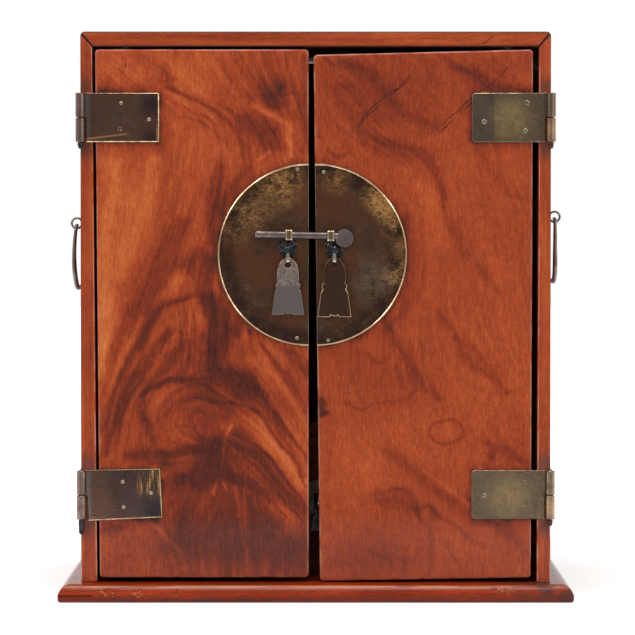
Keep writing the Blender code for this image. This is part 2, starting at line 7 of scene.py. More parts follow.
import bmesh
import bpy
import numpy as np
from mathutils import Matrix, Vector
from mathutils.geometry import tessellate_polygon


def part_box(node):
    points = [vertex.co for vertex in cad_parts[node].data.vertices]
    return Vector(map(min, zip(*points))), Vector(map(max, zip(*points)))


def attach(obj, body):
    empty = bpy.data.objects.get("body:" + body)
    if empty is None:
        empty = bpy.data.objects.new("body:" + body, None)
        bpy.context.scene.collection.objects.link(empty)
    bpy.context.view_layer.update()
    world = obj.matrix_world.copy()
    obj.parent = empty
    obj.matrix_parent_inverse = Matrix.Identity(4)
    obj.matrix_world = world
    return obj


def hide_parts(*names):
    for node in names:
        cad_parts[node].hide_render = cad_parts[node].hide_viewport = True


MM = 0.001
SIDES = ((-1, "left"), (1, "right"))
LEVELS = ("upper", "lower")

# The photograph's camera: level with the upper doors and aimed a little down
CAMERA_DISTANCE = 2.0
CAMERA_X = 0.0012
CAMERA_Z = 0.2595
CAMERA_TILT = math.radians(2.031)
CAMERA_LENS = 170.7
SENSOR_WIDTH = 36.0

# Lamps: name, place, size and power
LAMPS = (
    ("key", (-1.4, -1.5, 1.4), 1.0, 17.0),
    ("fill", (1.5, -1.4, 1.0), 1.0, 12.0),
    ("top", (0.0, -0.6, 1.8), 0.6, 12.0),
)
LAMP_AIM = Vector((0, 0, 0.19))

# Doors and boards
DOOR_STEP = 0.0008
DOOR_CORNER = 0.0026
DOOR_EDGE = 0.0013
EDGE_STEPS = 4
BOARD_EDGE = 0.00025
CASE_CORNER = 0.0028

# Fittings
PLATE_THICKNESS = 0.0012
PLATE_CHAMFER = 0.0005
PLATE_Y = -0.1145
SEAT_GAP = 0.0003
NAIL_RADIUS = 0.0014
BIG_NAIL_RADIUS = 0.0018
NAIL_HEIGHT = 0.0008
HINGE_GAP = 0.0004
LOWER_LEFT_TILT = math.tan(math.radians(2.6))
SLIPPED_PIN = 5.5 * MM
LOCK_PIN_TAIL_X = -0.0404
BAIL_EYE_WIRE = 0.00055
BAIL_EYE_RING = 0.0035

# Finishes of a fitting, by their places in its list of materials
EDGE_FINISH = 1
RAISED_FINISH = 2
NAIL_FINISH = 3

# Nails in each fitting, as (x, z) in millimetres
HINGE_NAILS = {
    "left_upper": ((-128.9, 330.8), (-110.5, 319.9)),
    "left_lower": ((-128.5, 79.2), (-109.5, 71.8), (-127.7, 62.4)),
    "right_upper": ((140.3, 331.0), (111.7, 318.5), (139.1, 312.4)),
    "right_lower": ((139.1, 78.5), (112.5, 69.8), (138.7, 61.6)),
}
LOCK_NAILS = {
    "left": ((-12.0, 287.0), (-12.4, 175.0)),
    "right": ((5.3, 285.0), (8.3, 173.8)),
}
EMPTY_NAIL_HOLE = (-129.8, 313.6)

# Chips in the base board's front edge, as (x, z, size)
BASE_CHIPS = (
    (-0.1400, 0.0078, 0.0022),
    (-0.1340, 0.0070, 0.0016),
    (-0.1180, 0.0066, 0.0024),
    (-0.0930, 0.0074, 0.0018),
    (0.1210, 0.0088, 0.0022),
    (0.1285, 0.0090, 0.0022),
)

# Drying cracks and a worm slit: the piece, its body, and the places that each runs through, in millimetres
CRACKS = (
    ("door_right", "right_door", (
        ((68.7, 360.8), (59.9, 344.8), (47.2, 336.2), (34.5, 324.8), (21.7, 309.5)),
        ((61.5, 349.5), (55.0, 340.5), (48.0, 334.6)),
        ((44.5, 331.0), (37.5, 325.2), (31.0, 318.5), (26.5, 311.0)),
        ((132.0, 359.5), (117.9, 344.8), (103.9, 334.8), (91.8, 323.5), (83.8, 316.8), (74.4, 309.5)),
        ((112.0, 338.2), (104.5, 331.8), (97.0, 325.6)),
        ((93.0, 321.8), (86.5, 315.5), (80.5, 309.0)),
    )),
    ("door_left", "left_door", (((-126.3, 358.2), (-126.1, 356.0), (-126.3, 353.5)),)),
    ("top_board", "case", (
        ((118.4, 376.9), (116.0, 374.2), (113.6, 371.6), (110.3, 370.6), (106.5, 369.5)),
    )),
)

# Rubbed places on the lock plate's halves, as (x, z, reach, share), in millimetres
LOCK_GOLD = {
    "left": ((-24, 275, 22, 1.2), (-18, 281, 14, 0.6), (-44, 258, 20, 0.8), (-54, 244, 14, 0.5)),
    "right": ((14, 280, 14, 0.7), (42, 268, 15, 2.0), (45, 262, 12, 2.2), (52, 250, 13, 1.2),
              (57, 236, 10, 0.7), (57, 224, 9, 0.7), (50, 216, 10, 1.3)),
}
LOCK_GREY = {
    "left": (),
    "right": ((37, 210, 17, 1.3), (45, 215, 14, 0.8), (34, 222, 14, 0.6)),
}

# Figure of the door faces: each stroke is a tone (darker below 0, paler above), a half width and the
# places that it runs through, as (x, z), all in millimetres; a tone of 0 only turns the grain
LEFT_STROKES = (
    (-0.60, 10.0, ((-27, 338), (-27, 334))),
    (-0.06, 16.0, ((-27, 340), (-24, 332))),
    (-0.34, 8.0, ((-46, 322), (-37, 313), (-28, 303))),
    (-0.28, 1.7, ((-74, 329), (-62, 322), (-52, 310), (-48, 294))),
    (-0.20, 1.5, ((-71, 332), (-56, 324), (-48, 314))),
    (-0.35, 1.9, ((-100, 341), (-86, 336), (-74, 329))),
    (-0.22, 4.0, ((-101, 354), (-96, 342))),
    (-0.22, 3.3, ((-7, 360), (-7, 333), (-7, 300))),
    (-0.36, 6.0, ((-62, 289), (-66, 270), (-69, 240))),
    (-0.25, 6.5, ((-89, 252), (-97, 236), (-106, 215), (-117, 197), (-128, 179), (-139, 160))),
    (-0.10, 8.0, ((-107, 190), (-120, 168), (-132, 143), (-140, 116))),
    (0.0, 9.0, ((-72, 250), (-78, 228), (-81, 200), (-83, 170))),
    (-0.42, 1.8, (
        (-117, 168), (-109, 187), (-101, 196), (-93, 200), (-86, 202), (-76, 204), (-71, 201), (-66, 193),
    )),
    (-0.20, 4.0, ((-117, 168), (-109, 187), (-101, 196), (-93, 200), (-86, 202))),
    (-0.30, 6.0, ((-92, 221), (-84, 225), (-74, 229), (-66, 228))),
    (-0.28, 1.2, ((-103, 165), (-98, 176), (-93, 181), (-89, 178))),
    (-0.24, 1.0, ((-82, 219), (-80, 212), (-81, 205))),
    (-0.24, 1.0, ((-79, 219), (-77, 211), (-78, 206))),
    (0.14, 4.0, ((-103, 204), (-96, 212), (-88, 215))),
    (-0.30, 6.7, ((-67, 228), (-73, 210), (-74, 194))),
    (-0.42, 6.7, ((-68, 200), (-68, 180), (-66, 161), (-68, 146))),
    (-1.50, 1.4, (
        (-115, 138), (-111, 142), (-106, 144), (-97, 147), (-89, 148), (-81, 148), (-72, 147), (-66, 144),
    )),
    (-0.22, 4.0, ((-111, 142), (-97, 147), (-81, 148), (-66, 144))),
    (-0.50, 1.4, (
        (-64, 154), (-54, 151), (-44, 145), (-37, 139), (-30, 127), (-21, 116), (-12, 104), (-6, 92),
    )),
    (-0.60, 1.0, ((-44, 128), (-35, 120), (-26, 109), (-16, 95), (-6, 76))),
    (-0.65, 1.0, ((-54, 110), (-42, 105), (-32, 97), (-22, 85), (-12, 71), (-6, 61))),
    (-0.60, 1.0, ((-50, 95), (-40, 89), (-30, 79), (-20, 66), (-10, 52))),
    (-0.45, 1.0, ((-48, 84), (-38, 77), (-28, 66), (-18, 52))),
    (-0.15, 1.0, ((-106, 118), (-96, 125), (-84, 128), (-74, 127))),
    (-0.12, 1.0, ((-104, 108), (-95, 114), (-84, 117), (-76, 116))),
    (-0.70, 1.1, ((-86, 132), (-81, 134), (-74, 135), (-67, 134), (-57, 131), (-47, 129), (-37, 125))),
    (-0.35, 2.7, ((-115, 139), (-116, 126), (-110, 117), (-107, 102), (-104, 98))),
    (-0.35, 3.3, ((-97, 181), (-110, 164), (-123, 142), (-133, 120), (-140, 98))),
    (-0.30, 2.4, ((-110, 185), (-124, 163), (-134, 138), (-142, 113))),
    (-0.25, 4.0, ((-86, 172), (-99, 157), (-111, 145))),
    (0.18, 2.7, ((-116, 188), (-129, 162), (-139, 133))),
    (0.30, 6.0, ((-140, 200), (-141, 176), (-143, 153))),
    (-0.24, 1.1, ((-92, 196), (-90, 180), (-89, 154))),
    (-0.24, 1.1, ((-88, 197), (-86, 180), (-84, 153))),
    (-0.22, 1.1, ((-83, 198), (-81, 180), (-81, 152))),
    (0.34, 4.7, ((-76, 194), (-74, 181))),
    (-1.20, 5.5, ((-58, 149), (-50, 144), (-41, 137))),
    (-0.40, 5.0, ((-60, 182), (-66, 168), (-70, 158))),
    (-0.32, 7.0, ((-70, 200), (-62, 188), (-54, 179))),
    (0.10, 6.0, ((-54, 161), (-42, 157), (-30, 149), (-20, 139))),
    (-0.80, 1.8, ((-44, 178), (-43, 177))),
    (0.12, 4.0, ((-46, 178), (-55, 165), (-60, 156))),
    (0.08, 5.3, ((-46, 175), (-36, 161), (-24, 145), (-13, 130), (-6, 117))),
    (-0.32, 2.1, ((-36, 169), (-22, 152), (-11, 134), (-5, 126))),
    (0.06, 3.3, ((-27, 166), (-14, 150), (-5, 136))),
    (-0.25, 4.0, ((-20, 168), (-9, 154), (-5, 148))),
    (-0.30, 3.3, ((-40, 140), (-32, 126), (-24, 114), (-16, 100), (-8, 83))),
    (0.30, 8.0, ((-60, 115), (-47, 120), (-32, 109), (-20, 96), (-8, 78))),
    (-0.42, 4.7, ((-49, 102), (-39, 98), (-30, 86), (-20, 73), (-9, 60))),
    (0.25, 4.0, ((-24, 63), (-16, 49), (-9, 30))),
    (-0.95, 6.5, ((-74, 104), (-69, 96), (-74, 86), (-79, 79))),
    (-0.80, 3.0, ((-103, 98), (-91, 98), (-77, 100), (-68, 106))),
    (-0.40, 2.7, ((-68, 106), (-59, 104), (-52, 101))),
    (-0.85, 4.5, ((-91, 81), (-78, 80), (-63, 84), (-52, 81))),
    (-0.55, 3.3, ((-52, 81), (-42, 76), (-31, 66))),
    (-0.45, 4.0, ((-124, 96), (-112, 97), (-100, 94))),
    (0.10, 9.0, ((-108, 134), (-98, 140), (-84, 140))),
    (-0.26, 13.0, ((-96, 92), (-90, 70), (-86, 50))),
    (-0.40, 21.3, ((-84, 40), (-51, 40), (-11, 34))),
    (0.45, 1.0, ((-54, 88), (-52, 68), (-49, 41), (-46, 23))),
    (0.40, 1.0, ((-48, 74), (-47, 50), (-45, 26))),
    (0.75, 1.0, ((-57, 116), (-61, 103), (-65, 83), (-68, 70))),
    (0.60, 1.0, ((-62, 90), (-60, 73))),
    (0.20, 6.0, ((-31, 66), (-21, 50), (-31, 36))),
    (-0.10, 22.0, ((-138, 30), (-112, 32))),
    (0.25, 2.0, ((-109, 52), (-98, 40), (-90, 33))),
    (-0.38, 4.7, ((-142, 46), (-132, 49))),
    (0.28, 11.3, ((-135, 290), (-137, 243), (-140, 200))),
    (0.22, 9.3, ((-108, 293), (-116, 253), (-129, 218))),
    (0.12, 12.0, ((-128, 310), (-124, 285), (-122, 265))),
    (-0.25, 5.0, ((-44, 288), (-54, 274), (-63, 256))),
    (0.34, 2.6, ((-42, 329), (-31, 323), (-21, 316), (-17, 306), (-15, 296))),
    (0.40, 1.0, ((-38, 293), (-34, 296), (-30, 299))),
    (0.40, 1.0, ((-22, 299), (-19, 292))),
    (0.19, 16.0, ((-139, 353), (-118, 350))),
    (0.0, 14.0, ((-143, 110), (-130, 160), (-112, 205), (-90, 245), (-72, 285))),
    (0.0, 12.0, ((-143, 205), (-134, 250), (-120, 295))),
    (0.0, 12.0, ((-122, 357), (-95, 347), (-66, 326), (-50, 300))),
    (-0.22, 1.3, ((-95, 331), (-80, 325), (-66, 315), (-58, 300))),
    (-0.20, 1.3, ((-88, 322), (-74, 317), (-62, 304))),
    (-0.32, 32.0, ((-95, 40), (-50, 45), (-15, 35))),
    (-0.30, 34.0, ((-70, 155), (-62, 100))),
    (-0.10, 30.0, ((-30, 340), (-30, 310))),
)
RIGHT_STROKES = (
    (-0.42, 5.3, ((16, 358), (32, 353), (44, 342), (53, 330), (64, 322), (80, 314))),
    (-0.38, 4.0, ((27, 314), (44, 305), (64, 300), (76, 292), (81, 280), (85, 268))),
    (-0.08, 40.0, ((30, 40), (120, 40))),
    (-0.20, 4.0, ((83, 274), (93, 245), (121, 205))),
    (-0.30, 6.7, ((34, 304), (58, 296))),
    (-0.42, 4.0, ((89, 356), (105, 350), (117, 344), (143, 338))),
    (-0.26, 6.0, ((104, 349), (117, 344))),
    (-0.20, 4.7, ((108, 300), (125, 274), (138, 267))),
    (-0.33, 3.3, ((45, 189), (58, 166), (70, 146), (81, 134))),
    (-0.33, 3.3, ((83, 192), (98, 166), (110, 154), (121, 146), (127, 139))),
    (-0.18, 3.3, ((96, 174), (111, 162), (123, 148))),
    (-0.35, 1.2, ((34, 166), (38, 161), (44, 158))),
    (-0.30, 1.2, ((37, 134), (51, 133), (59, 135), (67, 140))),
    (-0.30, 1.2, ((68, 176), (72, 168), (70, 160))),
    (-2.50, 1.6, ((1, 124), (8, 125))),
    (-1.20, 2.0, ((3, 134), (4, 128))),
    (-0.33, 4.7, ((46, 101), (59, 92), (72, 81), (89, 68), (109, 56), (128, 44))),
    (0.28, 1.7, ((72, 86), (89, 75), (102, 64))),
    (-0.35, 3.3, ((113, 106), (126, 100), (136, 94), (143, 91))),
    (-0.60, 2.7, ((117, 100), (118, 95))),
    (-0.35, 2.0, ((38, 71), (48, 73), (57, 74), (64, 70), (69, 63), (77, 61), (84, 54), (93, 48))),
    (-0.30, 1.2, ((41, 68), (46, 62), (56, 61))),
    (-0.36, 6.0, ((44, 67), (56, 67), (66, 61))),
    (-0.42, 2.0, ((66, 63), (70, 54))),
    (-0.42, 2.0, ((77, 62), (81, 55))),
    (-0.25, 1.5, ((76, 58), (77, 36), (76, 19))),
    (-0.25, 1.5, ((87, 36), (99, 18))),
    (-0.25, 2.7, ((96, 46), (110, 36))),
    (-0.20, 3.3, ((126, 53), (142, 32))),
    (-0.24, 16.0, ((13, 26), (35, 25), (59, 26))),
    (-0.30, 2.0, ((36, 32), (51, 26))),
    (-0.35, 1.2, ((109, 51), (126, 50))),
    (0.20, 8.7, ((70, 276), (79, 257), (83, 241))),
    (0.12, 16.0, ((19, 106), (31, 92), (40, 78))),
    # This stroke is a painted shadow beside the lock plate's right edge
    (-0.26, 5.3, ((59, 257), (65, 228), (60, 196), (46, 178))),
    (-0.45, 1.6, ((5, 362), (11, 355))),
    (-0.45, 1.2, ((8, 300), (13, 296), (21, 298))),
    (-0.55, 1.2, ((0, 309), (5, 309))),
    (0.14, 8.0, ((87, 114), (87, 110))),
    (0.10, 14.7, ((110, 253), (123, 226))),
    (-0.22, 17.3, ((24, 340), (37, 320))),
    (-0.25, 1.2, ((18, 132), (30, 128), (37, 132))),
    (-0.25, 1.2, ((122, 138), (131, 140), (141, 143))),
    (-0.16, 36.0, ((15, 345), (120, 345))),
    (-0.14, 24.0, ((20, 165), (60, 150))),
)
# Strokes, tone of the plain wood, random seed, strength of the strokes and streakiness of the grain
FIGURES = {
    "left": (LEFT_STROKES, 0.58, 11, 1.1, 0.85),
    "right": (RIGHT_STROKES, 0.56, 23, 0.6, 0.45),
}
# Depth of the painted shade round the hinge plates on each door
HINGE_PLATE_SHADE = {"left": 0.30, "right": 0.20}
KNOT_RING = ((87, 112), (11.5, 8.2))

# Colours
WOOD_TONES = (
    (0.00, (0.036, 0.010, 0.007)),
    (0.22, (0.112, 0.018, 0.008)),
    (0.42, (0.222, 0.031, 0.009)),
    (0.60, (0.345, 0.055, 0.014)),
    (0.78, (0.472, 0.103, 0.025)),
    (1.00, (0.610, 0.190, 0.055)),
)
# Pale edge colour: worn wood, and a painted highlight on rounded edges
PALE_WEAR_AND_HIGHLIGHT = (0.60, 0.30, 0.22)
# Darker tone of inner wood: dust, and painted shade inside the case
DUST_AND_SHADE_WOOD = (0.085, 0.040, 0.022)
DARK_JOINT = (0.045, 0.016, 0.012)
BRONZE_TONES = (
    (0.34, (0.040, 0.022, 0.018)),
    (0.45, (0.088, 0.044, 0.028)),
    (0.55, (0.135, 0.067, 0.040)),
    (0.66, (0.235, 0.136, 0.078)),
)
WORN_GOLD = (0.64, 0.33, 0.115)
WORN_GREY = (0.20, 0.150, 0.112)
MATERIALS = {}

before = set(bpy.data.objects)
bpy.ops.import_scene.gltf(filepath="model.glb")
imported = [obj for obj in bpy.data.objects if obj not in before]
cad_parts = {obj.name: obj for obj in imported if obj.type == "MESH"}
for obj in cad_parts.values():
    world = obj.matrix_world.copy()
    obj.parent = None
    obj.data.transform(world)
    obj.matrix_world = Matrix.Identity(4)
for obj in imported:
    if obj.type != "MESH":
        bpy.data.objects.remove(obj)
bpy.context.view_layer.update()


class Box:
    """A CAD node's box: its low and high corners, its middle and its size."""

    def __init__(self, node):
        self.low, self.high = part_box(node)
        self.middle = (self.low + self.high) / 2
        self.size = self.high - self.low


def lock_disc(word):
    """Centre of the round lock plate, as the half on one door has it, and its radius."""
    half = Box("lock_plate_" + word)
    radius = half.size.z / 2
    centre_x = half.high.x if word == "left" else half.high.x - radius
    return Vector((centre_x, half.low.y, half.middle.z)), radius


class Tree:
    """Nodes of a material or of the world, made by short calls; the colour is laid on coat by coat."""

    def __init__(self, owner, space="Object"):
        owner.use_nodes = True
        self.owner = owner
        self.nodes = owner.node_tree.nodes
        self.links = owner.node_tree.links
        self.place = self.node("TexCoord", result=space)
        self.colour = None

    def put(self, socket, value):
        """Links a socket to another node's result, or sets its value."""
        if isinstance(value, bpy.types.NodeSocket):
            self.links.new(value, socket)
        else:
            socket.default_value = (*value, 1.0) if socket.type == "RGBA" else value

    def node(self, kind, inputs=None, result=0, **settings):
        """Makes a node with these inputs and settings, and gives one of its results."""
        made = self.nodes.new("ShaderNode" + kind)
        for name, setting in settings.items():
            setattr(made, name, setting)
        for name, value in (inputs or {}).items():
            self.put(made.inputs[name], value)
        return made.outputs[result]

    def noise(self, scale, detail=3.0, roughness=0.55, distortion=0.0):
        """Soft noise; three scales draw it out along the axes."""
        vector = self.place
        if isinstance(scale, tuple):
            vector = self.node("Mapping", {"Vector": vector, "Scale": scale})
            scale = 1.0
        inputs = {"Vector": vector, "Scale": scale, "Detail": detail, "Roughness": roughness}
        return self.node("TexNoise", {**inputs, "Distortion": distortion}, "Fac")

    def math(self, operation, *values):
        return self.node("Math", dict(enumerate(values)), operation=operation)

    def product(self, first, *others):
        for other in others:
            first = self.math("MULTIPLY", first, other)
        return first

    def total(self, start, *parts):
        """A start plus each value times its weight."""
        for value, weight in parts:
            start = self.math("MULTIPLY_ADD", value, weight, start)
        return start

    def spread(self, value, low, high, to_low=0.0, to_high=1.0):
        """A smooth step of a value from one pair of levels to another."""
        levels = dict(enumerate((value, low, high, to_low, to_high)))
        return self.node("MapRange", levels, interpolation_type="SMOOTHSTEP")

    def attribute(self, name):
        return self.node("Attribute", result="Fac", attribute_name=name)

    def axis(self, letter, vector=None):
        return self.node("SeparateXYZ", {0: vector or self.place}, letter)

    def spot(self, centre, radius):
        """1 at a place and 0 from a radius on."""
        away = self.node("VectorMath", {0: self.place, 1: tuple(centre)}, "Value", operation="DISTANCE")
        return self.spread(away, 0.0, radius, 1.0, 0.0)

    def ramp(self, value, stops):
        """Starts the colour from a value, by stops of (position, colour)."""
        self.colour = self.node("ValToRGB", {0: value})
        marks = self.colour.node.color_ramp.elements
        while len(marks) < len(stops):
            marks.new(1.0)
        for mark, (position, colour) in zip(marks, stops):
            mark.position = position
            mark.color = (*colour, 1.0)

    def stain(self, colour, *shares, blend="MIX"):
        """Lays a colour over the one that is there, by the product of the shares."""
        inputs = {0: self.product(*shares), 6: self.colour, 7: colour}
        self.colour = self.node("Mix", inputs, 2, data_type="RGBA", blend_type=blend)

    def finish(self, roughness, relief, strength, depth, others):
        """Feeds the material's shader, with a fine relief."""
        bump = self.node("Bump", {"Strength": strength, "Distance": depth, "Height": relief})
        inputs = {"Base Color": self.colour, "Roughness": roughness, "Normal": bump, **others}
        for name, value in inputs.items():
            self.put(self.nodes["Principled BSDF"].inputs[name], value)
        return self.owner


def wood(name, along, level=None, dull_and_shaded=False, coat=0.22, level_coat=0.55, tint=None, marks=None):
    """Waxed hardwood: pores and streaks along the grain, over a plain level or else the mesh's figure.

    Edges are pale where the mesh's wear_and_highlight is above 0, as worn wood and as a painted highlight
    along rounded edges, and joints dark where it is below.
    """
    tree = Tree(bpy.data.materials.new(name))
    fine = tuple(190.0 if axis == along else 1500.0 for axis in "xyz")
    broad = tuple(9.0 if axis == along else 260.0 for axis in "xyz")
    pores = tree.total(0.0, (tree.noise(fine, detail=2.0), 0.65), (tree.noise(700.0, roughness=0.7), 0.35))
    streaks = tree.noise(broad, detail=4.0, distortion=0.4)
    pore_share = 0.64
    if level is None:
        streak_share = 0.08
        tone = tree.attribute("figure")
    else:
        streak_share = 0.62
        tone = tree.total(level - 0.20, (tree.noise(14.0, detail=2.0), 0.40))
    middle = -0.5 * (pore_share + streak_share)
    tree.ramp(tree.total(middle, (tone, 1.0), (pores, pore_share), (streaks, streak_share)), WOOD_TONES)
    if tint:
        tree.stain(tint, 1.0, blend="MULTIPLY")
    # Inner wood is darkened: dusty, and painted shade inside the case
    if dull_and_shaded:
        tree.stain(DUST_AND_SHADE_WOOD, 0.55)
    if marks:
        marks(tree)
    wear_and_highlight = tree.attribute("wear_and_highlight")
    # Pale edges: worn, and a painted highlight where rounded edges would catch the light
    tree.stain(PALE_WEAR_AND_HIGHLIGHT, wear_and_highlight, tree.spread(tree.noise(70.0, detail=4.0), 0.34, 0.60))
    tree.stain(DARK_JOINT, wear_and_highlight, -1.0)
    smooth, rough = (0.55, 0.70) if dull_and_shaded else (0.34, 0.42)
    roughness = tree.spread(tree.noise(60.0), 0.3, 0.7, smooth, rough)
    others = {"Specular IOR Level": 0.12}
    if not dull_and_shaded:
        upward = tree.axis("Z", tree.node("TexCoord", result="Normal"))
        others["Coat Weight"] = tree.spread(upward, 0.50, 0.85, coat, level_coat)
        others["Coat Roughness"] = 0.08
    MATERIALS[name] = tree.finish(roughness, pores, 0.15, 0.0003, others)


def hinge_stains(tree):
    """Dark stains that the hinges have left on the case's front edges, above and below their knuckles."""
    for side, word in SIDES:
        for level in LEVELS:
            pin = Box("hinge_" + word + "_" + level + "_pin")
            for z in (pin.low.z, pin.high.z + 4 * MM):
                place = (pin.middle.x - 2 * MM * side, pin.low.y, z)
                tree.stain((0.055, 0.026, 0.020), tree.spot(place, 0.0135), 0.95)


def base_marks(tree):
    """The base board has a painted highlight along its ridge, painted shade near the floor, dirt at its
    right end, and specks at chips.
    """
    up = tree.axis("Z")
    ridge = tree.math("ABSOLUTE", tree.math("SUBTRACT", up, 0.0102))
    # A pale line along the bullnose ridge is a painted highlight; rubbed picks the patches where it shows
    rubbed = tree.spread(tree.noise((30.0, 30.0, 300.0), detail=4.0), 0.36, 0.60, 0.15, 0.75)
    tree.stain((0.60, 0.27, 0.14), tree.spread(ridge, 0.0002, 0.0010, 1.0, 0.0), rubbed)
    # Painted shade darkens the foot towards the floor, darkest in a contact-shadow line at the very bottom
    low = tree.math("MAXIMUM", tree.spread(up, 0.0062, 0.0020, 0.0, 0.65), tree.spread(up, 0.0022, 0.0005))
    # The darkening at the right end is dirt
    dirt_and_foot_shade = tree.math("MAXIMUM", low, tree.spread(tree.axis("X"), 0.105, 0.150, 0.0, 0.85))
    patches = tree.spread(tree.noise(90.0, detail=4.0), 0.35, 0.65, 0.35, 1.0)
    tree.stain((0.066, 0.026, 0.021), dirt_and_foot_shade, patches)
    specks = tree.noise((420.0, 900.0, 900.0), roughness=0.7)
    dark = tree.spread(specks, 0.46, 0.40)
    pale = tree.spread(specks, 0.54, 0.64)
    front = Box("base_board").low.y
    for x, z, reach in BASE_CHIPS:
        spot = tree.spot((x, front, z), 2.6 * reach)
        tree.stain((0.05, 0.016, 0.012), spot, dark)
        tree.stain((0.55, 0.19, 0.075), spot, pale)


def metal(name, dark, light, rough, spots=120.0, marks=None):
    """Handled metal: two tones in soft blotches, finer specks, and gloss that varies with them."""
    tree = Tree(bpy.data.materials.new(name))
    blotch = tree.spread(tree.noise(spots, detail=5.0, roughness=0.65), 0.35, 0.68)
    specks = tree.spread(tree.noise(spots * 9.0, detail=2.0), 0.45, 0.75)
    tree.colour = dark
    tree.stain(light, blotch)
    tree.stain(dark, specks, 0.35)
    if marks:
        marks(tree)
    roughness = tree.spread(blotch, 0.0, 1.0, rough[1], rough[0])
    MATERIALS[name] = tree.finish(roughness, specks, 0.08, 0.0002, {"Metallic": 1.0})


def lock_bronze(word):
    """Old bronze of the lock plate: nearly black near the rim, red brown inside, and rubbed in places."""
    name = "lock_bronze_" + word
    centre, radius = lock_disc(word)
    tree = Tree(bpy.data.materials.new(name))
    blotch = tree.noise(120.0, detail=7.0, roughness=0.78)
    fine = tree.noise((520.0, 800.0, 1000.0), detail=5.0, roughness=0.7)
    mottle = tree.total(0.0, (blotch, 0.75), (fine, 0.25))
    tree.ramp(mottle, BRONZE_TONES)
    tree.stain((0.165, 0.056, 0.026), tree.spread(tree.noise(42.0), 0.44, 0.62), 0.55)
    near_rim = tree.spread(tree.spot(centre, radius), 0.16, 0.01)
    tree.stain((0.030, 0.018, 0.016), near_rim, tree.spread(blotch, 0.62, 0.42, 0.25, 0.85))
    patches = tree.product(tree.spread(blotch, 0.36, 0.60), tree.spread(fine, 0.34, 0.62))
    for tint, places in ((WORN_GOLD, LOCK_GOLD[word]), (WORN_GREY, LOCK_GREY[word])):
        for x, z, reach, share in places:
            tree.stain(tint, tree.spot((x * MM, centre.y, z * MM), reach * MM), patches, share)
    roughness = tree.spread(blotch, 0.35, 0.65, 0.50, 0.30)
    MATERIALS[name] = tree.finish(roughness, mottle, 0.15, 0.0004, {"Metallic": 1.0})


def hinge_scratches(tree):
    """Marks on the left hinges: rust, blue-black corners, a long gold scratch and a brushed patch below."""
    across = tree.axis("X")
    up = tree.axis("Z")
    lower = tree.spread(up, 0.2, 0.1)
    tree.stain((0.175, 0.080, 0.052), tree.spread(tree.noise(55.0, detail=2.0), 0.42, 0.62), 0.55)
    tree.stain((0.050, 0.038, 0.040), lower, tree.spread(across, -0.142, -0.130, 0.25, 0.62))
    tree.stain((0.220, 0.200, 0.205), tree.spread(across, -0.1480, -0.1515, 0.0, 0.5))
    for z in (0.306, 0.330, 0.060):
        tree.stain((0.028, 0.026, 0.040), tree.spot((-0.108, PLATE_Y, z), 0.013), 0.75)
    start_x, start_z = (-0.1509, 0.3072)
    end_x, end_z = (-0.1216, 0.3108)
    slope = (end_z - start_z) / (end_x - start_x)
    off = tree.math("ABSOLUTE", tree.total(slope * start_x - start_z, (up, 1.0), (across, -slope)))
    fade = tree.spread(across, end_x, end_x - 0.006)
    scratch = tree.product(tree.spread(off, 0.0002, 0.0009, 1.0, 0.0), fade)
    lines = tree.spread(tree.noise((900.0, 1.0, 60.0)), 0.50, 0.66)
    brushed = tree.product(lines, lower, tree.spread(across, -0.123, -0.114), tree.spread(up, 0.066, 0.074))
    corner = tree.product(tree.spread(across, -0.1060, -0.1052), tree.spread(up, 0.318, 0.312))
    corner = tree.product(corner, tree.spread(up, 0.2, 0.3))
    worn = tree.math("MAXIMUM", scratch, tree.math("MAXIMUM", brushed, corner))
    tree.stain(WORN_GOLD, worn, 0.85)


def hinge_clouds(tree):
    """Marks on the right hinges: a browner free end, and a soft paler cloud in the middle."""
    tree.stain((0.250, 0.175, 0.095), tree.spread(tree.noise(420.0, 4.0, 0.75), 0.42, 0.62), 0.4)
    tree.stain((0.060, 0.045, 0.035), tree.spread(tree.noise(900.0), 0.60, 0.68, 0.0, 0.6))
    grain = tree.spread(tree.noise(300.0, detail=4.0), 0.30, 0.60, 0.5, 1.0)
    for z, share in ((0.3200, 0.9), (0.0700, 0.55)):
        tree.stain((0.380, 0.262, 0.118), tree.spot((0.1285, PLATE_Y, z), 0.0215), grain, share)
    free_end = tree.spread(tree.axis("X"), 0.1190, 0.1178)
    tree.stain((0.110, 0.082, 0.066), free_end, tree.spread(tree.axis("Z"), 0.1, 0.3, 0.15, 0.75), grain)


def knuckle_rubbing(tree):
    """The lower knuckles of the right hinges are rubbed to a coppery tone."""
    for level in LEVELS:
        middle = Box("hinge_right_" + level + "_pin").middle
        leaf = Box("hinge_right_" + level + "_door_leaf")
        place = (middle.x, middle.y, leaf.low.z + 0.25 * leaf.size.z)
        tree.stain((0.480, 0.290, 0.170), tree.spot(place, 0.0115), 0.9)


def pendant_rubbing(tree):
    """The grey pendant is paler, warmer and rougher above its waist."""
    top = Box("pendant_left").high.z
    upper = tree.spread(tree.axis("Z"), top - 20 * MM, top - 17 * MM)
    tree.stain((0.420, 0.315, 0.255), upper, tree.spread(tree.noise(500.0, detail=4.0), 0.35, 0.62), 0.8)


def pendant_edges(tree):
    """The bronze pendant's edge is rubbed bright on its skirt and dark above."""
    drop = Box("pendant_right")
    waist = drop.low.z + 0.55 * drop.size.z
    above = tree.spread(tree.axis("Z"), waist - 4 * MM, waist + 3 * MM, 0.0, 0.85)
    tree.stain((0.080, 0.042, 0.030), above)


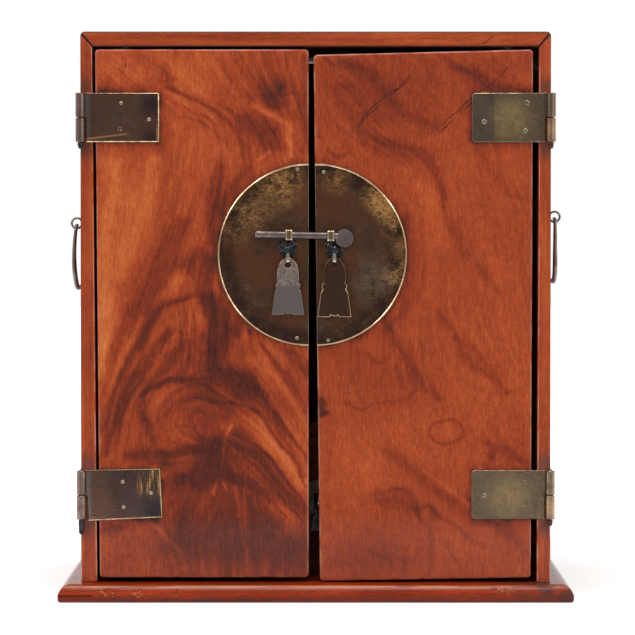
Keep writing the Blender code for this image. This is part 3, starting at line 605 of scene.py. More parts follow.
def staple_edges(tree):
    """The lock staples are bright along the edges of their straps and brown between."""
    for _, word in SIDES:
        staple = Box("lock_staple_" + word)
        off = tree.math("ABSOLUTE", tree.math("SUBTRACT", tree.axis("X"), staple.middle.x))
        half = staple.size.x / 2
        tree.stain((0.17, 0.105, 0.052), tree.spread(off, 0.45 * half, 0.75 * half, 0.85, 0.0))


def link_tarnish(tree):
    """The pendants' links are tarnished where they hang in their eyes."""
    top = Box("pendant_link_left").high.z
    tree.stain((0.035, 0.036, 0.040), tree.spread(tree.axis("Z"), top - 0.0060, top - 0.0045, 0.0, 0.9))


def make_materials():
    """Every finish of the chest, kept by its name."""
    wood("door_wood", "z")
    wood("case_wood_upright", "z", 0.54, marks=hinge_stains)
    wood("case_wood_level", "x", 0.52)
    wood("base_wood", "x", 0.46, coat=0.05, level_coat=0.30, tint=(1.0, 0.70, 0.42), marks=base_marks)
    wood("inner_wood", "x", 0.50, dull_and_shaded=True)
    wood("inner_wood_upright", "z", 0.50, dull_and_shaded=True)
    wood("crack_wood", "z", 0.04)
    lock_bronze("left")
    lock_bronze("right")
    # Darker and paler tone, and the least and greatest roughness
    metal("hinge_bronze", (0.120, 0.068, 0.050), (0.200, 0.116, 0.085), (0.16, 0.28), 70.0, hinge_scratches)
    metal("hinge_brass", (0.105, 0.076, 0.056), (0.165, 0.116, 0.074), (0.34, 0.48), 90.0, hinge_clouds)
    metal("knuckle_bronze", (0.150, 0.100, 0.084), (0.280, 0.200, 0.170), (0.22, 0.34))
    metal("knuckle_brass", (0.140, 0.106, 0.070), (0.290, 0.220, 0.145), (0.22, 0.34), marks=knuckle_rubbing)
    metal("worn_edge", (0.36, 0.22, 0.09), (0.72, 0.54, 0.36), (0.22, 0.36), 150.0)
    metal("dull_edge", (0.120, 0.085, 0.058), (0.30, 0.23, 0.155), (0.30, 0.40), 200.0)
    for name, marks in (("pale_edge", None), ("pendant_edge", pendant_edges)):
        metal(name, (0.40, 0.25, 0.13), (0.90, 0.66, 0.42), (0.22, 0.36), 60.0, marks)
    metal("pale_brass", (0.42, 0.32, 0.20), (0.78, 0.65, 0.47), (0.22, 0.34), 260.0, staple_edges)
    metal("link_metal", (0.32, 0.27, 0.23), (0.66, 0.60, 0.54), (0.22, 0.34), 300.0, link_tarnish)
    metal("grey_metal", (0.120, 0.096, 0.088), (0.215, 0.172, 0.158), (0.34, 0.46))
    metal("pendant_grey", (0.190, 0.152, 0.143), (0.250, 0.200, 0.196), (0.28, 0.40), 60.0, pendant_rubbing)
    metal("pendant_bronze", (0.070, 0.034, 0.026), (0.105, 0.052, 0.038), (0.28, 0.40))
    metal("dark_iron", (0.020, 0.022, 0.027), (0.070, 0.070, 0.078), (0.26, 0.46), 300.0)
    metal("bail_iron", (0.150, 0.118, 0.108), (0.310, 0.255, 0.235), (0.28, 0.42))
    metal("nail_metal", (0.15, 0.115, 0.085), (0.46, 0.39, 0.31), (0.22, 0.34), 500.0)


class Form:
    """Vertices and faces of one piece, gathered shell by shell."""

    def __init__(self):
        self.points = []
        self.faces = []
        self.finishes = []

    def ring(self, points):
        first = len(self.points)
        self.points.extend(tuple(point) for point in points)
        return list(range(first, len(self.points)))

    def face(self, corners, finish=0):
        self.faces.append(tuple(corners))
        self.finishes.append(finish)

    def bridge(self, one, two, finish=0, closed=True):
        """Joins two rings; places that fall together give triangles."""
        count = len(one)
        for here in range(count if closed else count - 1):
            after = (here + 1) % count
            self.face(dict.fromkeys((one[here], one[after], two[after], two[here])), finish)

    def skin(self, rings, finish=0, closed=False, capped=True):
        """Joins rings one after the other, and the last to the first or else both ends by caps."""
        for one, two in zip(rings, rings[1:] + (rings[:1] if closed else [])):
            self.bridge(one, two, finish)
        if capped and not closed:
            self.face(rings[0], finish)
            self.face(rings[-1], finish)

    def fill(self, rings, finish=0):
        """Closes the first outline, less the holes that follow it, with triangles."""
        loops = [[Vector(self.points[i]) for i in ring] for ring in rings]
        flat = [i for ring in rings for i in ring]
        for triangle in tessellate_polygon(loops):
            self.face([flat[i] for i in triangle], finish)

    def piece(self, name, materials, body, node=None, sharp=38):
        """Makes the mesh of the piece, and puts it into the scene."""
        mesh = bpy.data.meshes.new(name)
        mesh.from_pydata(self.points, [], self.faces)
        mesh.polygons.foreach_set("material_index", self.finishes)
        work = bmesh.new()
        work.from_mesh(mesh)
        turn_outwards(work)
        return put_piece(work, mesh, materials, body, node, sharp)


def turn_outwards(work):
    """Turns the faces of every closed shell outwards."""
    bmesh.ops.recalc_face_normals(work, faces=work.faces)
    left = set(work.faces)
    while left:
        shell = []
        reached = [left.pop()]
        while reached:
            face = reached.pop()
            shell.append(face)
            near = {other for edge in face.edges for other in edge.link_faces} & left
            left -= near
            reached.extend(near)
        if sum(face.calc_center_median().dot(face.normal) * face.calc_area() for face in shell) < 0:
            bmesh.ops.reverse_faces(work, faces=shell)


def put_piece(work, mesh, materials, body, node=None, sharp=38):
    """Puts a finished mesh into the scene on its body and in place of its CAD node."""
    work.to_mesh(mesh)
    work.free()
    for name in materials:
        mesh.materials.append(MATERIALS[name])
    mesh.shade_smooth()
    mesh.set_sharp_from_angle(angle=math.radians(sharp))
    made = bpy.data.objects.new(mesh.name, mesh)
    bpy.context.scene.collection.objects.link(made)
    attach(made, body)
    if node:
        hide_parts(node)
    return made


def add_values(mesh, name, values):
    """Stores one number at each vertex for the materials to read."""
    layer = mesh.attributes.new(name, "FLOAT", "POINT")
    layer.data.foreach_set("value", np.asarray(values, np.float32))


def arc(centre, radius, start_deg, end_deg, steps):
    angles = [math.radians(start_deg + (end_deg - start_deg) * i / steps) for i in range(steps + 1)]
    return [(centre[0] + radius * math.cos(a), centre[1] + radius * math.sin(a)) for a in angles]


def smooth_path(points, step):
    """Places about every step along a smooth curve through the given points."""
    known = [np.array(point, float) for point in points]
    guided = [2 * known[0] - known[1]] + known + [2 * known[-1] - known[-2]]
    path = []
    for a, b, c, d in zip(guided, guided[1:], guided[2:], guided[3:]):
        count = max(1, round(np.linalg.norm(c - b) / step))
        for t in np.arange(count) / count:
            bend = (2 * a - 5 * b + 4 * c - d) * t ** 2 + (3 * b - a - 3 * c + d) * t ** 3
            path.append(b + 0.5 * ((c - a) * t + bend))
    path.append(known[-1])
    return np.array(path)


def rounded(corners, radii, steps=5):
    """An outline whose corners are rounded, each by its own radius."""
    points = []
    for index, radius in enumerate(radii):
        here = Vector(corners[index])
        before = (Vector(corners[index - 1]) - here).normalized()
        after = (Vector(corners[(index + 1) % len(corners)]) - here).normalized()
        start = here + before * radius
        end = here + after * radius
        for t in (step / steps for step in range(steps + 1)):
            points.append(tuple(start * (1 - t) ** 2 + here * 2 * t * (1 - t) + end * t ** 2))
    return points


def turned_way(outline, hole=False):
    """An outline in the sense that keeps the metal on its left: anticlockwise, or clockwise for a hole."""
    area = sum(a[0] * b[1] - b[0] * a[1] for a, b in zip(outline, outline[1:] + outline[:1]))
    return outline if (area > 0) != hole else outline[::-1]


def inset(outline, distance):
    """An outline moved into the metal on its left."""
    moved = []
    for index, here in enumerate(outline):
        here = Vector(here)
        arriving = (here - Vector(outline[index - 1])).normalized()
        leaving = (Vector(outline[(index + 1) % len(outline)]) - here).normalized()
        normal = Vector((-arriving.y, arriving.x))
        middle = (normal + Vector((-leaving.y, leaving.x))).normalized()
        moved.append(tuple(here + middle * (distance / max(0.4, middle.dot(normal)))))
    return moved


def facing_front(seat_y):
    return lambda u, v, height: (u, seat_y - height, v)


def facing_side(side, seat_x):
    return lambda u, v, height: (side * (seat_x + height), u, v)


def sheet(form, outlines, place, thickness=PLATE_THICKNESS, chamfer=PLATE_CHAMFER, slope=0.7):
    """A flat plate on its seat: the first outline less any holes, with every front edge chamfered."""
    backs = []
    faces = []
    for number, outline in enumerate(outlines):
        outline = turned_way(list(outline), hole=number > 0)
        back = form.ring(place(u, v, 0.0) for u, v in outline)
        shoulder = form.ring(place(u, v, thickness - slope * chamfer) for u, v in outline)
        face = form.ring(place(u, v, thickness) for u, v in inset(outline, chamfer))
        form.bridge(back, shoulder)
        form.bridge(shoulder, face, 0 if number else EDGE_FINISH)
        backs.append(back)
        faces.append(face)
    form.fill(backs)
    form.fill(faces)


def lathe(form, profile, origin, axis, sides=24, finish=0, closed=False):
    """Turns (radius, height) pairs round an axis from an origin; an end on the axis closes the form."""
    origin = Vector(origin)
    axis = Vector(axis).normalized()
    across = axis.orthogonal().normalized()
    beside = axis.cross(across)
    rings = []
    for radius, height in profile:
        centre = origin + axis * height
        turns = [2 * math.pi * i / sides for i in range(sides if radius > 0 else 1)]
        ring = form.ring(centre + (across * math.cos(t) + beside * math.sin(t)) * radius for t in turns)
        rings.append(ring * (sides // len(ring)))
    form.skin(rings, finish, closed, capped=False)


def sweep(form, path, section, plane, scales=None, closed=False, finish=0):
    """Carries a section of (sideways, along the plane's normal) offsets along a path in a plane."""
    plane = Vector(plane)
    path = [Vector(point) for point in path]
    rings = []
    for index, here in enumerate(path):
        before = path[index - 1] if closed or index else here
        after = path[(index + 1) % len(path)] if closed or index + 1 < len(path) else here
        side = plane.cross(after - before).normalized()
        scale = scales[index] if scales else 1.0
        rings.append(form.ring(here + (side * a + plane * b) * scale for a, b in section))
    form.skin(rings, finish, closed)


def round_section(radius, sides=12):
    return arc((0, 0), radius, 0, 360 * (1 - 1 / sides), sides - 1)


def strap_section(width, thickness, corner):
    half_t = thickness / 2
    half_w = width / 2
    corners = [(-half_t, -half_w), (half_t, -half_w), (half_t, half_w), (-half_t, half_w)]
    return rounded(corners, [corner] * 4, steps=2)


def nail(form, origin, axis, radius=NAIL_RADIUS):
    """A hammered nail head, low and domed."""
    dome = [(radius * across, NAIL_HEIGHT * up) for across, up in arc((0, 0), 1.0, 0, 90, 6)[:-1]]
    lathe(form, [(0.0, 0.0)] + dome + [(0.0, NAIL_HEIGHT)], origin, axis, sides=18, finish=NAIL_FINISH)


def between(grid, row, column, eased=False):
    """Values of a grid at places between its points."""
    r = row.astype(int)
    c = column.astype(int)
    fr = row - r
    fc = column - c
    if eased:
        fr = fr * fr * (3 - 2 * fr)
        fc = fc * fc * (3 - 2 * fc)
    upper = grid[r, c] * (1 - fc) + grid[r, c + 1] * fc
    lower = grid[r + 1, c] * (1 - fc) + grid[r + 1, c + 1] * fc
    return upper * (1 - fr) + lower * fr


class Figure:
    """Tone of a door's figured face, on a fine grid that samples are read from; all in millimetres."""

    cell = 0.8
    margin = 6
    path_step = 2.0
    upright_pull = 0.22
    guide_pull = 0.4
    broadest_guide = 9
    shortest_guide = 26
    feather_share = 0.13
    darkest = 0.44
    palest = 0.26
    calm_height = 55
    calm_share = 0.3

    def __init__(self, low, high, strokes, base, seed, strength, streakiness):
        self.random = np.random.RandomState(seed)
        self.low = np.array(low) / MM - self.margin
        size = (np.array(high) / MM + self.margin - self.low) / self.cell
        self.shape = (int(size[1]) + 1, int(size[0]) + 1)
        z, x = np.mgrid[0:self.shape[0], 0:self.shape[1]] * self.cell
        self.x = x + self.low[0] + 0.9 * self.cloud(14) + 0.35 * self.cloud(4)
        self.z = z + self.low[1] + 0.9 * self.cloud(14) + 0.35 * self.cloud(4)
        # Doubled angles, so that the two ways along the grain count as one
        self.turn = -self.upright_pull * np.exp(0.3j * self.cloud(40))
        marks = [(tone, self.stroke(tone, half_width, points)) for tone, half_width, points in strokes]
        angle = np.angle(self.turn) / 2
        broad = self.streaks(self.cloud(2.4), angle, 34)
        fine = self.streaks(self.random.normal(size=self.shape), angle, 14)
        feather = self.feather_share * (0.65 * broad + 0.35 * fine)
        change = sum(tone * np.exp(-np.maximum(away + feather, 0) ** 1.7) for tone, away in marks)
        change = strength * (change + 0.05 * self.cloud(34))
        darker = -self.darkest * np.tanh(-change / 0.50)
        paler = self.palest * np.tanh(change / self.palest)
        self.tone = base + np.where(change < 0, darker, paler)
        drawn = streakiness * np.clip((self.z - self.calm_height) / self.calm_height, self.calm_share, 1)
        self.tone += drawn * (0.034 * broad + 0.040 * fine) + 0.016 * self.cloud(4) + 0.022 * self.cloud(1.6)

    def cloud(self, size):
        """Smooth random field whose bumps are about a size across."""
        rows = np.arange(self.shape[0]) * self.cell / size
        columns = np.arange(self.shape[1]) * self.cell / size
        grid = self.random.normal(size=(int(rows[-1]) + 3, int(columns[-1]) + 3))
        return between(grid, rows[:, None], columns[None, :], eased=True)

    def stroke(self, tone, half_width, points):
        """Turns the grain along a stroke; the distance from it, in its own widths, is its result."""
        path = smooth_path(points, self.path_step)
        ways = np.gradient(path, axis=0)
        nearest = np.full(self.shape, 1e9)
        width = np.ones(self.shape)
        turn = np.zeros(self.shape, complex)
        for index, ((x, z), (run_x, run_z)) in enumerate(zip(path, ways)):
            distance = np.hypot(self.x - x, self.z - z)
            closer = distance < nearest
            nearest[closer] = distance[closer]
            width[closer] = half_width * (0.6 + 0.4 * math.sin(math.pi * index / (len(path) - 1)))
            turn[closer] = np.exp(2j * math.atan2(run_z, run_x))
        long = len(path) * self.path_step > self.shortest_guide
        if tone == 0 or (long and half_width < self.broadest_guide):
            pull = abs(tone) or self.guide_pull
            self.turn += pull * turn * np.exp(-(nearest / (2.5 * half_width + 8)) ** 2)
        return nearest / width

    def streaks(self, speckle, angle, reach):
        """Speckle drawn out along the grain, with its spread set to 1."""
        total = speckle.copy()
        rows, columns = self.shape
        for sign in (1, -1):
            z, x = np.mgrid[0:rows, 0:columns].astype(float)
            way_x = sign * np.cos(angle)
            way_z = sign * np.sin(angle)
            for _ in range(reach):
                x = np.clip(x + way_x, 0, columns - 1)
                z = np.clip(z + way_z, 0, rows - 1)
                at = (z.round().astype(int), x.round().astype(int))
                next_x = np.cos(angle[at])
                next_z = np.sin(angle[at])
                flip = np.sign(next_x * way_x + next_z * way_z + 1e-9)
                way_x = next_x * flip
                way_z = next_z * flip
                total += speckle[at]
        return (total - total.mean()) / total.std()

    def stain(self, away, depth, reach):
        """Darkens the wood beside a plate, by the distance from the plate's edge: painted shade round the
        plate.
        """
        self.tone -= depth * np.exp(-np.maximum(away, 0) / reach) * (1 + 0.5 * self.cloud(5))

    def sample(self, x, z):
        column = np.clip((x / MM - self.low[0]) / self.cell, 0, self.shape[1] - 1.001)
        row = np.clip((z / MM - self.low[1]) / self.cell, 0, self.shape[0] - 1.001)
        return between(self.tone, row, column)


def door_figure(word, door):
    """A door's figure, with painted shade round its plates and, on the right, the thin ring of a knot."""
    low = (door.low.x, door.low.z)
    high = (door.high.x, door.high.z)
    figure = Figure(low, high, *FIGURES[word])
    for level in LEVELS:
        plate = Box("hinge_" + word + "_" + level + "_door_leaf")
        middle = plate.middle / MM
        half = plate.size / 2 / MM
        off_x = np.abs(figure.x - middle.x) - half.x
        off_z = np.abs(figure.z - middle.z) - half.z
        figure.stain(np.hypot(np.maximum(off_x, 0), np.maximum(off_z, 0)), HINGE_PLATE_SHADE[word], 2.4)
    centre, radius = lock_disc(word)
    away = np.hypot(figure.x - centre.x / MM, figure.z - centre.z / MM) - radius / MM
    # Painted shade round the lock plate
    figure.stain(away, 0.16, 2.2)
    if word == "right":
        (knot_x, knot_z), (half_x, half_z) = KNOT_RING
        ring = np.hypot((figure.x - knot_x) / half_x, (figure.z - knot_z) / half_z)
        figure.tone -= 0.02 * (ring < 1) + 0.20 * np.exp(-((ring - 1) * half_z / 0.8) ** 2)
    return figure


def door_corners(node):
    """Corners of a door's outline where its straight edges would meet: top left, then clockwise."""
    box = Box(node)
    near = 0.012
    points = [vertex.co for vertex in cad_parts[node].data.vertices]
    corners = []
    for side, end in ((-1, 1), (1, 1), (1, -1), (-1, -1)):
        x = box.high.x if side > 0 else box.low.x
        z = box.high.z if end > 0 else box.low.z
        close = [p for p in points if abs(p.x - x) < near and abs(p.z - z) < near]
        corners.append(Vector((side * max(side * p.x for p in close), end * max(end * p.z for p in close))))
    return corners


def spaced(length, step, edge):
    """Distances across a panel: close together over its rounded edges, and even between them."""
    start = edge * (1 - np.cos(np.linspace(0, math.pi / 2, EDGE_STEPS + 1)))
    middle = np.linspace(edge, length - edge, round((length - 2 * edge) / step))
    return np.concatenate([start[:-1], middle, length - start[-2::-1]])


def door_face(node):
    """Places on a door's face as grids of x, z and depth, with its corners and edges rounded over."""
    top_left, top_right, foot_right, foot_left = door_corners(node)
    width = (top_right - top_left).length
    height = (foot_left - top_left).length
    across, down = np.meshgrid(spaced(width, DOOR_STEP, DOOR_EDGE), spaced(height, DOOR_STEP, DOOR_EDGE))
    p = np.clip(1 - np.minimum(across, width - across) / DOOR_CORNER, 0, 1)
    q = np.clip(1 - np.minimum(down, height - down) / DOOR_CORNER, 0, 1)
    p_round = p * np.sqrt(1 - q ** 2 / 2)
    q_round = q * np.sqrt(1 - p ** 2 / 2)
    across += np.where(across < width / 2, 1, -1) * (p - p_round) * DOOR_CORNER
    down += np.where(down < height / 2, 1, -1) * (q - q_round) * DOOR_CORNER
    inward = np.minimum(DOOR_CORNER * (1 - np.hypot(p_round, q_round)), DOOR_EDGE)
    depth = DOOR_EDGE - np.sqrt(np.maximum(DOOR_EDGE ** 2 - (DOOR_EDGE - inward) ** 2, 0))
    a = (across / width)[..., None]
    b = (down / height)[..., None]
    upper = np.array(top_left) * (1 - a) + np.array(top_right) * a
    lower = np.array(foot_left) * (1 - a) + np.array(foot_right) * a
    flat = upper * (1 - b) + lower * b
    return flat[..., 0], flat[..., 1], depth, 1 - DOOR_EDGE / width


def make_door(word):
    """A flush door leaf with rounded edges, whose face holds the figure as an attribute."""
    node = "door_" + word
    door = Box(node)
    x, z, depth, shrink = door_face(node)
    form = Form()
    form.ring(zip(x.ravel(), (door.low.y + depth).ravel(), z.ravel()))
    index = np.arange(x.size).reshape(x.shape)
    for one, two in zip(index, index[1:]):
        form.bridge(one.tolist(), two.tolist(), closed=False)
    border = np.concatenate([index[0, :-1], index[:-1, -1], index[-1, :0:-1], index[:0:-1, 0]]).tolist()
    rim = [form.points[i] for i in border]
    middle = door.middle
    side_edge = form.ring((px, door.low.y + 2 * DOOR_EDGE, pz) for px, _, pz in rim)
    back_edge = form.ring((px, door.high.y - 0.6 * DOOR_EDGE, pz) for px, _, pz in rim)
    back = form.ring(
        (middle.x + (px - middle.x) * shrink, door.high.y, middle.z + (pz - middle.z) * shrink)
        for px, _, pz in rim
    )
    form.bridge(border, side_edge)
    form.bridge(side_edge, back_edge)
    form.bridge(back_edge, back, 1)
    form.face(back, 1)
    tone = door_figure(word, door).sample(x, z).ravel()
    materials = ["door_wood", "inner_wood_upright"]
    panel = form.piece(node + "_panel", materials, word + "_door", node, sharp=50)
    add_values(panel.data, "figure", np.concatenate([tone] + 3 * [tone[border]]))
    # The rounded edge is paled: worn, and a painted highlight
    wear_and_highlight = np.sqrt(depth / DOOR_EDGE).ravel()
    add_values(panel.data, "wear_and_highlight", np.concatenate([wear_and_highlight, np.zeros(3 * len(border))]))


def make_hinge(side, word, level):
    """A strap hinge: the door leaf with the upper knuckle, the case leaf with the lower, and the pin."""
    name = "hinge_" + word + "_" + level
    leaf = Box(name + "_door_leaf")
    pin = Box(name + "_pin")
    materials = ["hinge_brass", "dull_edge", "knuckle_brass", "dull_edge"]
    nail_radius = BIG_NAIL_RADIUS
    if side < 0:
        materials = ["hinge_bronze", "worn_edge", "knuckle_bronze", "nail_metal"]
        nail_radius = NAIL_RADIUS

    form = Form()
    door_plate(form, side, name, leaf, pin)
    knuckle(form, pin, leaf.size.y / 2, leaf.middle.z + HINGE_GAP / 2, leaf.high.z)
    for x, z in HINGE_NAILS[word + "_" + level]:
        nail(form, (x * MM, leaf.high.y - PLATE_THICKNESS, z * MM), (0, -1, 0), nail_radius)
    form.piece(name + "_door_plate", materials, word + "_door", name + "_door_leaf", sharp=24)

    form = Form()
    board = Box("side_" + word)
    seat_x = max(abs(board.low.x), abs(board.high.x)) + SEAT_GAP
    case_plate(form, side, name, leaf, pin, seat_x)
    knuckle(form, pin, leaf.size.y / 2, leaf.low.z, leaf.middle.z - HINGE_GAP / 2)
    front_y = -0.104
    rear_y = -0.088
    for y, z in ((front_y, leaf.high.z - 7 * MM), (front_y, leaf.low.z + 10 * MM), (rear_y, leaf.middle.z)):
        nail(form, (side * (seat_x + PLATE_THICKNESS), y, z), (side, 0, 0), nail_radius)
    form.piece(name + "_case_plate", materials, "case", name + "_case_leaf", sharp=24)
    make_pin(side, name, leaf, pin)


def door_plate(form, side, name, leaf, pin):
    """A hinge's leaf on the door; the lower left one is askew, and the upper left one lacks a nail."""
    axis_x = pin.middle.x
    reach = leaf.size.y / 2
    tilt = LOWER_LEFT_TILT if name == "hinge_left_lower" else 0.0
    near_x = axis_x - side * (reach + HINGE_GAP)
    far_x = (leaf.low.x if side > 0 else leaf.high.x) - side * 20 * MM * tilt
    step_z = leaf.middle.z + HINGE_GAP
    low_z = leaf.low.z
    high_z = leaf.high.z
    free, chamfer, slope = (0.0005, 0.00070, 0.5) if side < 0 else (0.0026, 0.00036, 0.7)
    lift = 0.5 * abs(far_x - near_x) * tilt
    corners = [(far_x, low_z), (near_x, low_z), (near_x, step_z)]
    corners += [(axis_x, step_z), (axis_x, high_z), (far_x, high_z)]
    eased = 0.0005
    crisp = 0.0002
    outline = []
    for x, z in rounded(corners, [free, eased, crisp, crisp, crisp, free]):
        away = abs(x - axis_x)
        if away > reach:
            turned_x = x + side * (z - leaf.middle.z) * tilt
            z += (away - abs(near_x - axis_x)) * tilt - lift
            x = turned_x
        outline.append((x, z))
    outlines = [outline]
    if name == "hinge_left_upper":
        hole_radius = 0.0007
        outlines.append(arc([place * MM for place in EMPTY_NAIL_HOLE], hole_radius, 0, 330, 11))
    sheet(form, outlines, facing_front(leaf.high.y), chamfer=chamfer, slope=slope)


def case_plate(form, side, name, leaf, pin, seat_x):
    """A hinge's leaf on the case's side."""
    axis_y = pin.middle.y
    near_y = axis_y + leaf.size.y / 2 + HINGE_GAP
    far_y = Box(name + "_case_leaf").high.y
    step_z = leaf.middle.z - HINGE_GAP
    low_z = leaf.low.z
    high_z = leaf.high.z
    corners = [(axis_y, low_z), (far_y, low_z), (far_y, high_z)]
    corners += [(near_y, high_z), (near_y, step_z), (axis_y, step_z)]
    outline = rounded(corners, [0.0002, 0.002, 0.002, 0.0005, 0.0002, 0.0002])
    sheet(form, [outline], facing_side(side, seat_x), chamfer=0.00045)


def knuckle(form, pin, radius, low_z, high_z):
    """Half a hinge barrel round the pin, with eased ends."""
    ease = 0.0004
    play = 0.00015
    inner = pin.size.x / 2 + play
    length = high_z - low_z
    profile = [(inner, ease), (inner + ease, 0.0), (radius - ease, 0.0), (radius, ease)]
    profile += [(across, length - up) for across, up in reversed(profile)]
    foot = (pin.middle.x, pin.middle.y, low_z)
    lathe(form, profile, foot, (0, 0, 1), sides=28, finish=RAISED_FINISH, closed=True)


def make_pin(side, name, leaf, pin):
    """A hinge's pin with its swollen tip below; the lower left one has slipped down in its knuckles."""
    radius = pin.size.x / 2
    foot_z = pin.low.z - (SLIPPED_PIN if name == "hinge_left_lower" else 0.0)
    length = pin.high.z - foot_z
    tip = leaf.low.z - foot_z
    profile = [(0.0, 0.0), (0.8 * radius, 0.0003), (1.15 * radius, 0.0016), (1.35 * radius, tip - 0.0012),
               (1.2 * radius, tip - 0.0003), (radius, tip), (radius, length - 0.0006),
               (0.7 * radius, length), (0.0, length)]
    form = Form()
    lathe(form, profile, (pin.middle.x, pin.middle.y, foot_z), (0, 0, 1), sides=16)
    material = "dark_iron" if side < 0 else "pendant_bronze"
    form.piece(name + "_pin_rod", [material], "case", name + "_pin")


def make_lock_plate(side, word):
    """Half of the round lock plate with its bright rim and two nails."""
    node = "lock_plate_" + word
    half = Box(node)
    corners = door_corners("door_" + word)
    top, foot = corners[1:3] if side < 0 else corners[::3]
    start = 90 - math.degrees(math.atan2(top.x - foot.x, top.y - foot.y))
    centre, radius = lock_disc(word)
    end = start - side * 180
    steps = 72
    bead_radius = 0.00055
    bead_inset = 0.0007
    form = Form()
    sheet(form, [arc(centre.xz, radius, start, end, steps)], facing_front(half.high.y), chamfer=0.0004)
    bead = [(x, half.low.y, z) for x, z in arc(centre.xz, radius - bead_inset, start, end, steps)]
    sweep(form, bead, round_section(bead_radius, 8), (0, 1, 0), finish=RAISED_FINISH)
    for x, z in LOCK_NAILS[word]:
        nail(form, (x * MM, half.low.y, z * MM), (0, -1, 0))
    materials = ["lock_bronze_" + word, "dull_edge", "pale_edge", "nail_metal"]
    form.piece(node + "_disc", materials, word + "_door", node, sharp=24)


def make_staple(word):
    """A brass strap bent over the lock pin."""
    node = "lock_staple_" + word
    staple = Box(node)
    strip = 0.0009
    bend = 0.0012
    top = staple.high.z - strip / 2
    foot = staple.low.z + strip / 2
    upper = arc((staple.low.y + strip / 2 + bend, top - bend), bend, 90, 180, 4)
    lower = [(y, foot + top - z) for y, z in reversed(upper)]
    loop = [(staple.high.y, top)] + upper + lower + [(staple.high.y, foot)]
    form = Form()
    section = strap_section(staple.size.x, strip, 0.0002)
    sweep(form, [(staple.middle.x, y, z) for y, z in loop], section, (1, 0, 0))
    form.piece(node + "_strap", ["pale_brass"], word + "_door", node, sharp=30)


def make_lock_pin():
    """The whole lock pin: CAD stops it at the gap, and here it reaches on through the left staple."""
    pin = Box("lock_pin")
    left = Box("lock_staple_left").middle
    right = Box("lock_staple_right").middle
    slope = (right.z - left.z) / (right.x - left.x)
    head_radius = pin.size.z / 2
    head = Vector((pin.high.x - head_radius, pin.middle.y, pin.middle.z))
    ends = (LOCK_PIN_TAIL_X, head.x - 0.6 * head_radius)
    tail, neck = (Vector((x, head.y, left.z + slope * (x - left.x))) for x in ends)
    radius = pin.size.y / 2
    length = (neck - tail).length
    form = Form()
    profile = [(0.0, 0.0), (0.72 * radius, 0.0), (0.95 * radius, 0.0006), (radius, 0.0016), (radius, 0.0042),
               (0.93 * radius, 0.0048), (0.93 * radius, length - 0.004), (0.8 * radius, length),
               (0.0, length + 0.0005)]
    lathe(form, profile, tail, neck - tail, sides=20)
    half = 0.0010
    disc = [(0.0, -1.0), (0.88, -1.0), (1.0, -0.4), (1.0, 0.4), (0.93, 1.0), (0.80, 0.8), (0.0, 0.72)]
    lathe(form, [(head_radius * across, half * up) for across, up in disc], head, (0, -1, 0), sides=36)
    form.piece("lock_pin_whole", ["grey_metal"], "lock", "lock_pin", sharp=45)


def pendant_outline(drop):
    """A bell-shaped pendant with a cusped waist and a small notch in its foot."""
    shoulder = [(0.0, 0.0), (0.24, -0.015), (0.49, -0.085), (0.64, -0.20), (0.68, -0.32), (0.68, -0.385),
                (0.62, -0.43)]
    cusp = [(0.62, -0.43), (0.73, -0.455), (0.76, -0.485), (0.73, -0.512), (0.67, -0.535)]
    skirt = [(0.67, -0.535), (0.79, -0.585), (0.87, -0.72), (1.00, -1.00)]
    notch = [(0.30, -1.00), (0.19, -0.962), (0.08, -0.995), (0.0, -0.975)]
    half = []
    for run in (shoulder, cusp, skirt):
        half += [tuple(point) for point in smooth_path(run, 0.06)[:-1]]
    half += [(1.00, -1.00)] + notch
    right = [(drop.middle.x + x * drop.size.x / 2, drop.high.z + z * drop.size.z) for x, z in half]
    left = [(2 * drop.middle.x - x, z) for x, z in reversed(right[1:-1])]
    return right + left


def make_drop(names, body, swing, finish, edge):
    """An eye on its rose, the strap link that hangs on it, and the pendant."""
    eye_name, link_name, drop_name = names
    drop = Box(drop_name)
    size = 1.0 if drop.size.z > 0.03 else 0.6
    make_drop_eye(eye_name, body, drop.middle.x, size)

    link = Box(link_name)
    thick = 0.0005
    turn = link.size.y / 2 - thick
    foot_z = link.low.z + 0.2 * link.size.z
    upper = arc((link.middle.y, link.high.z - thick - turn), turn, 0, 180, 10)
    lower = arc((link.middle.y, foot_z + thick + turn), turn, 180, 360, 10)
    path = [(drop.middle.x, y, z) for y, z in upper + lower]
    form = Form()
    sweep(form, path, strap_section(0.0022 * size, 1.8 * thick, 0.00015), (1, 0, 0), closed=True)
    form.piece(link_name + "_strap", ["link_metal"], swing, link_name, sharp=30)

    form = Form()
    hole_radius = 0.0022 * max(size, 0.8)
    hole = arc((drop.middle.x, foot_z + 2.2 * thick - hole_radius), hole_radius, 0, 345, 23)
    outlines = [pendant_outline(drop), hole]
    sheet(form, outlines, facing_front(drop.high.y), thickness=drop.size.y, chamfer=0.00025)
    form.piece(drop_name + "_drop", [finish, edge], swing, drop_name, sharp=24)


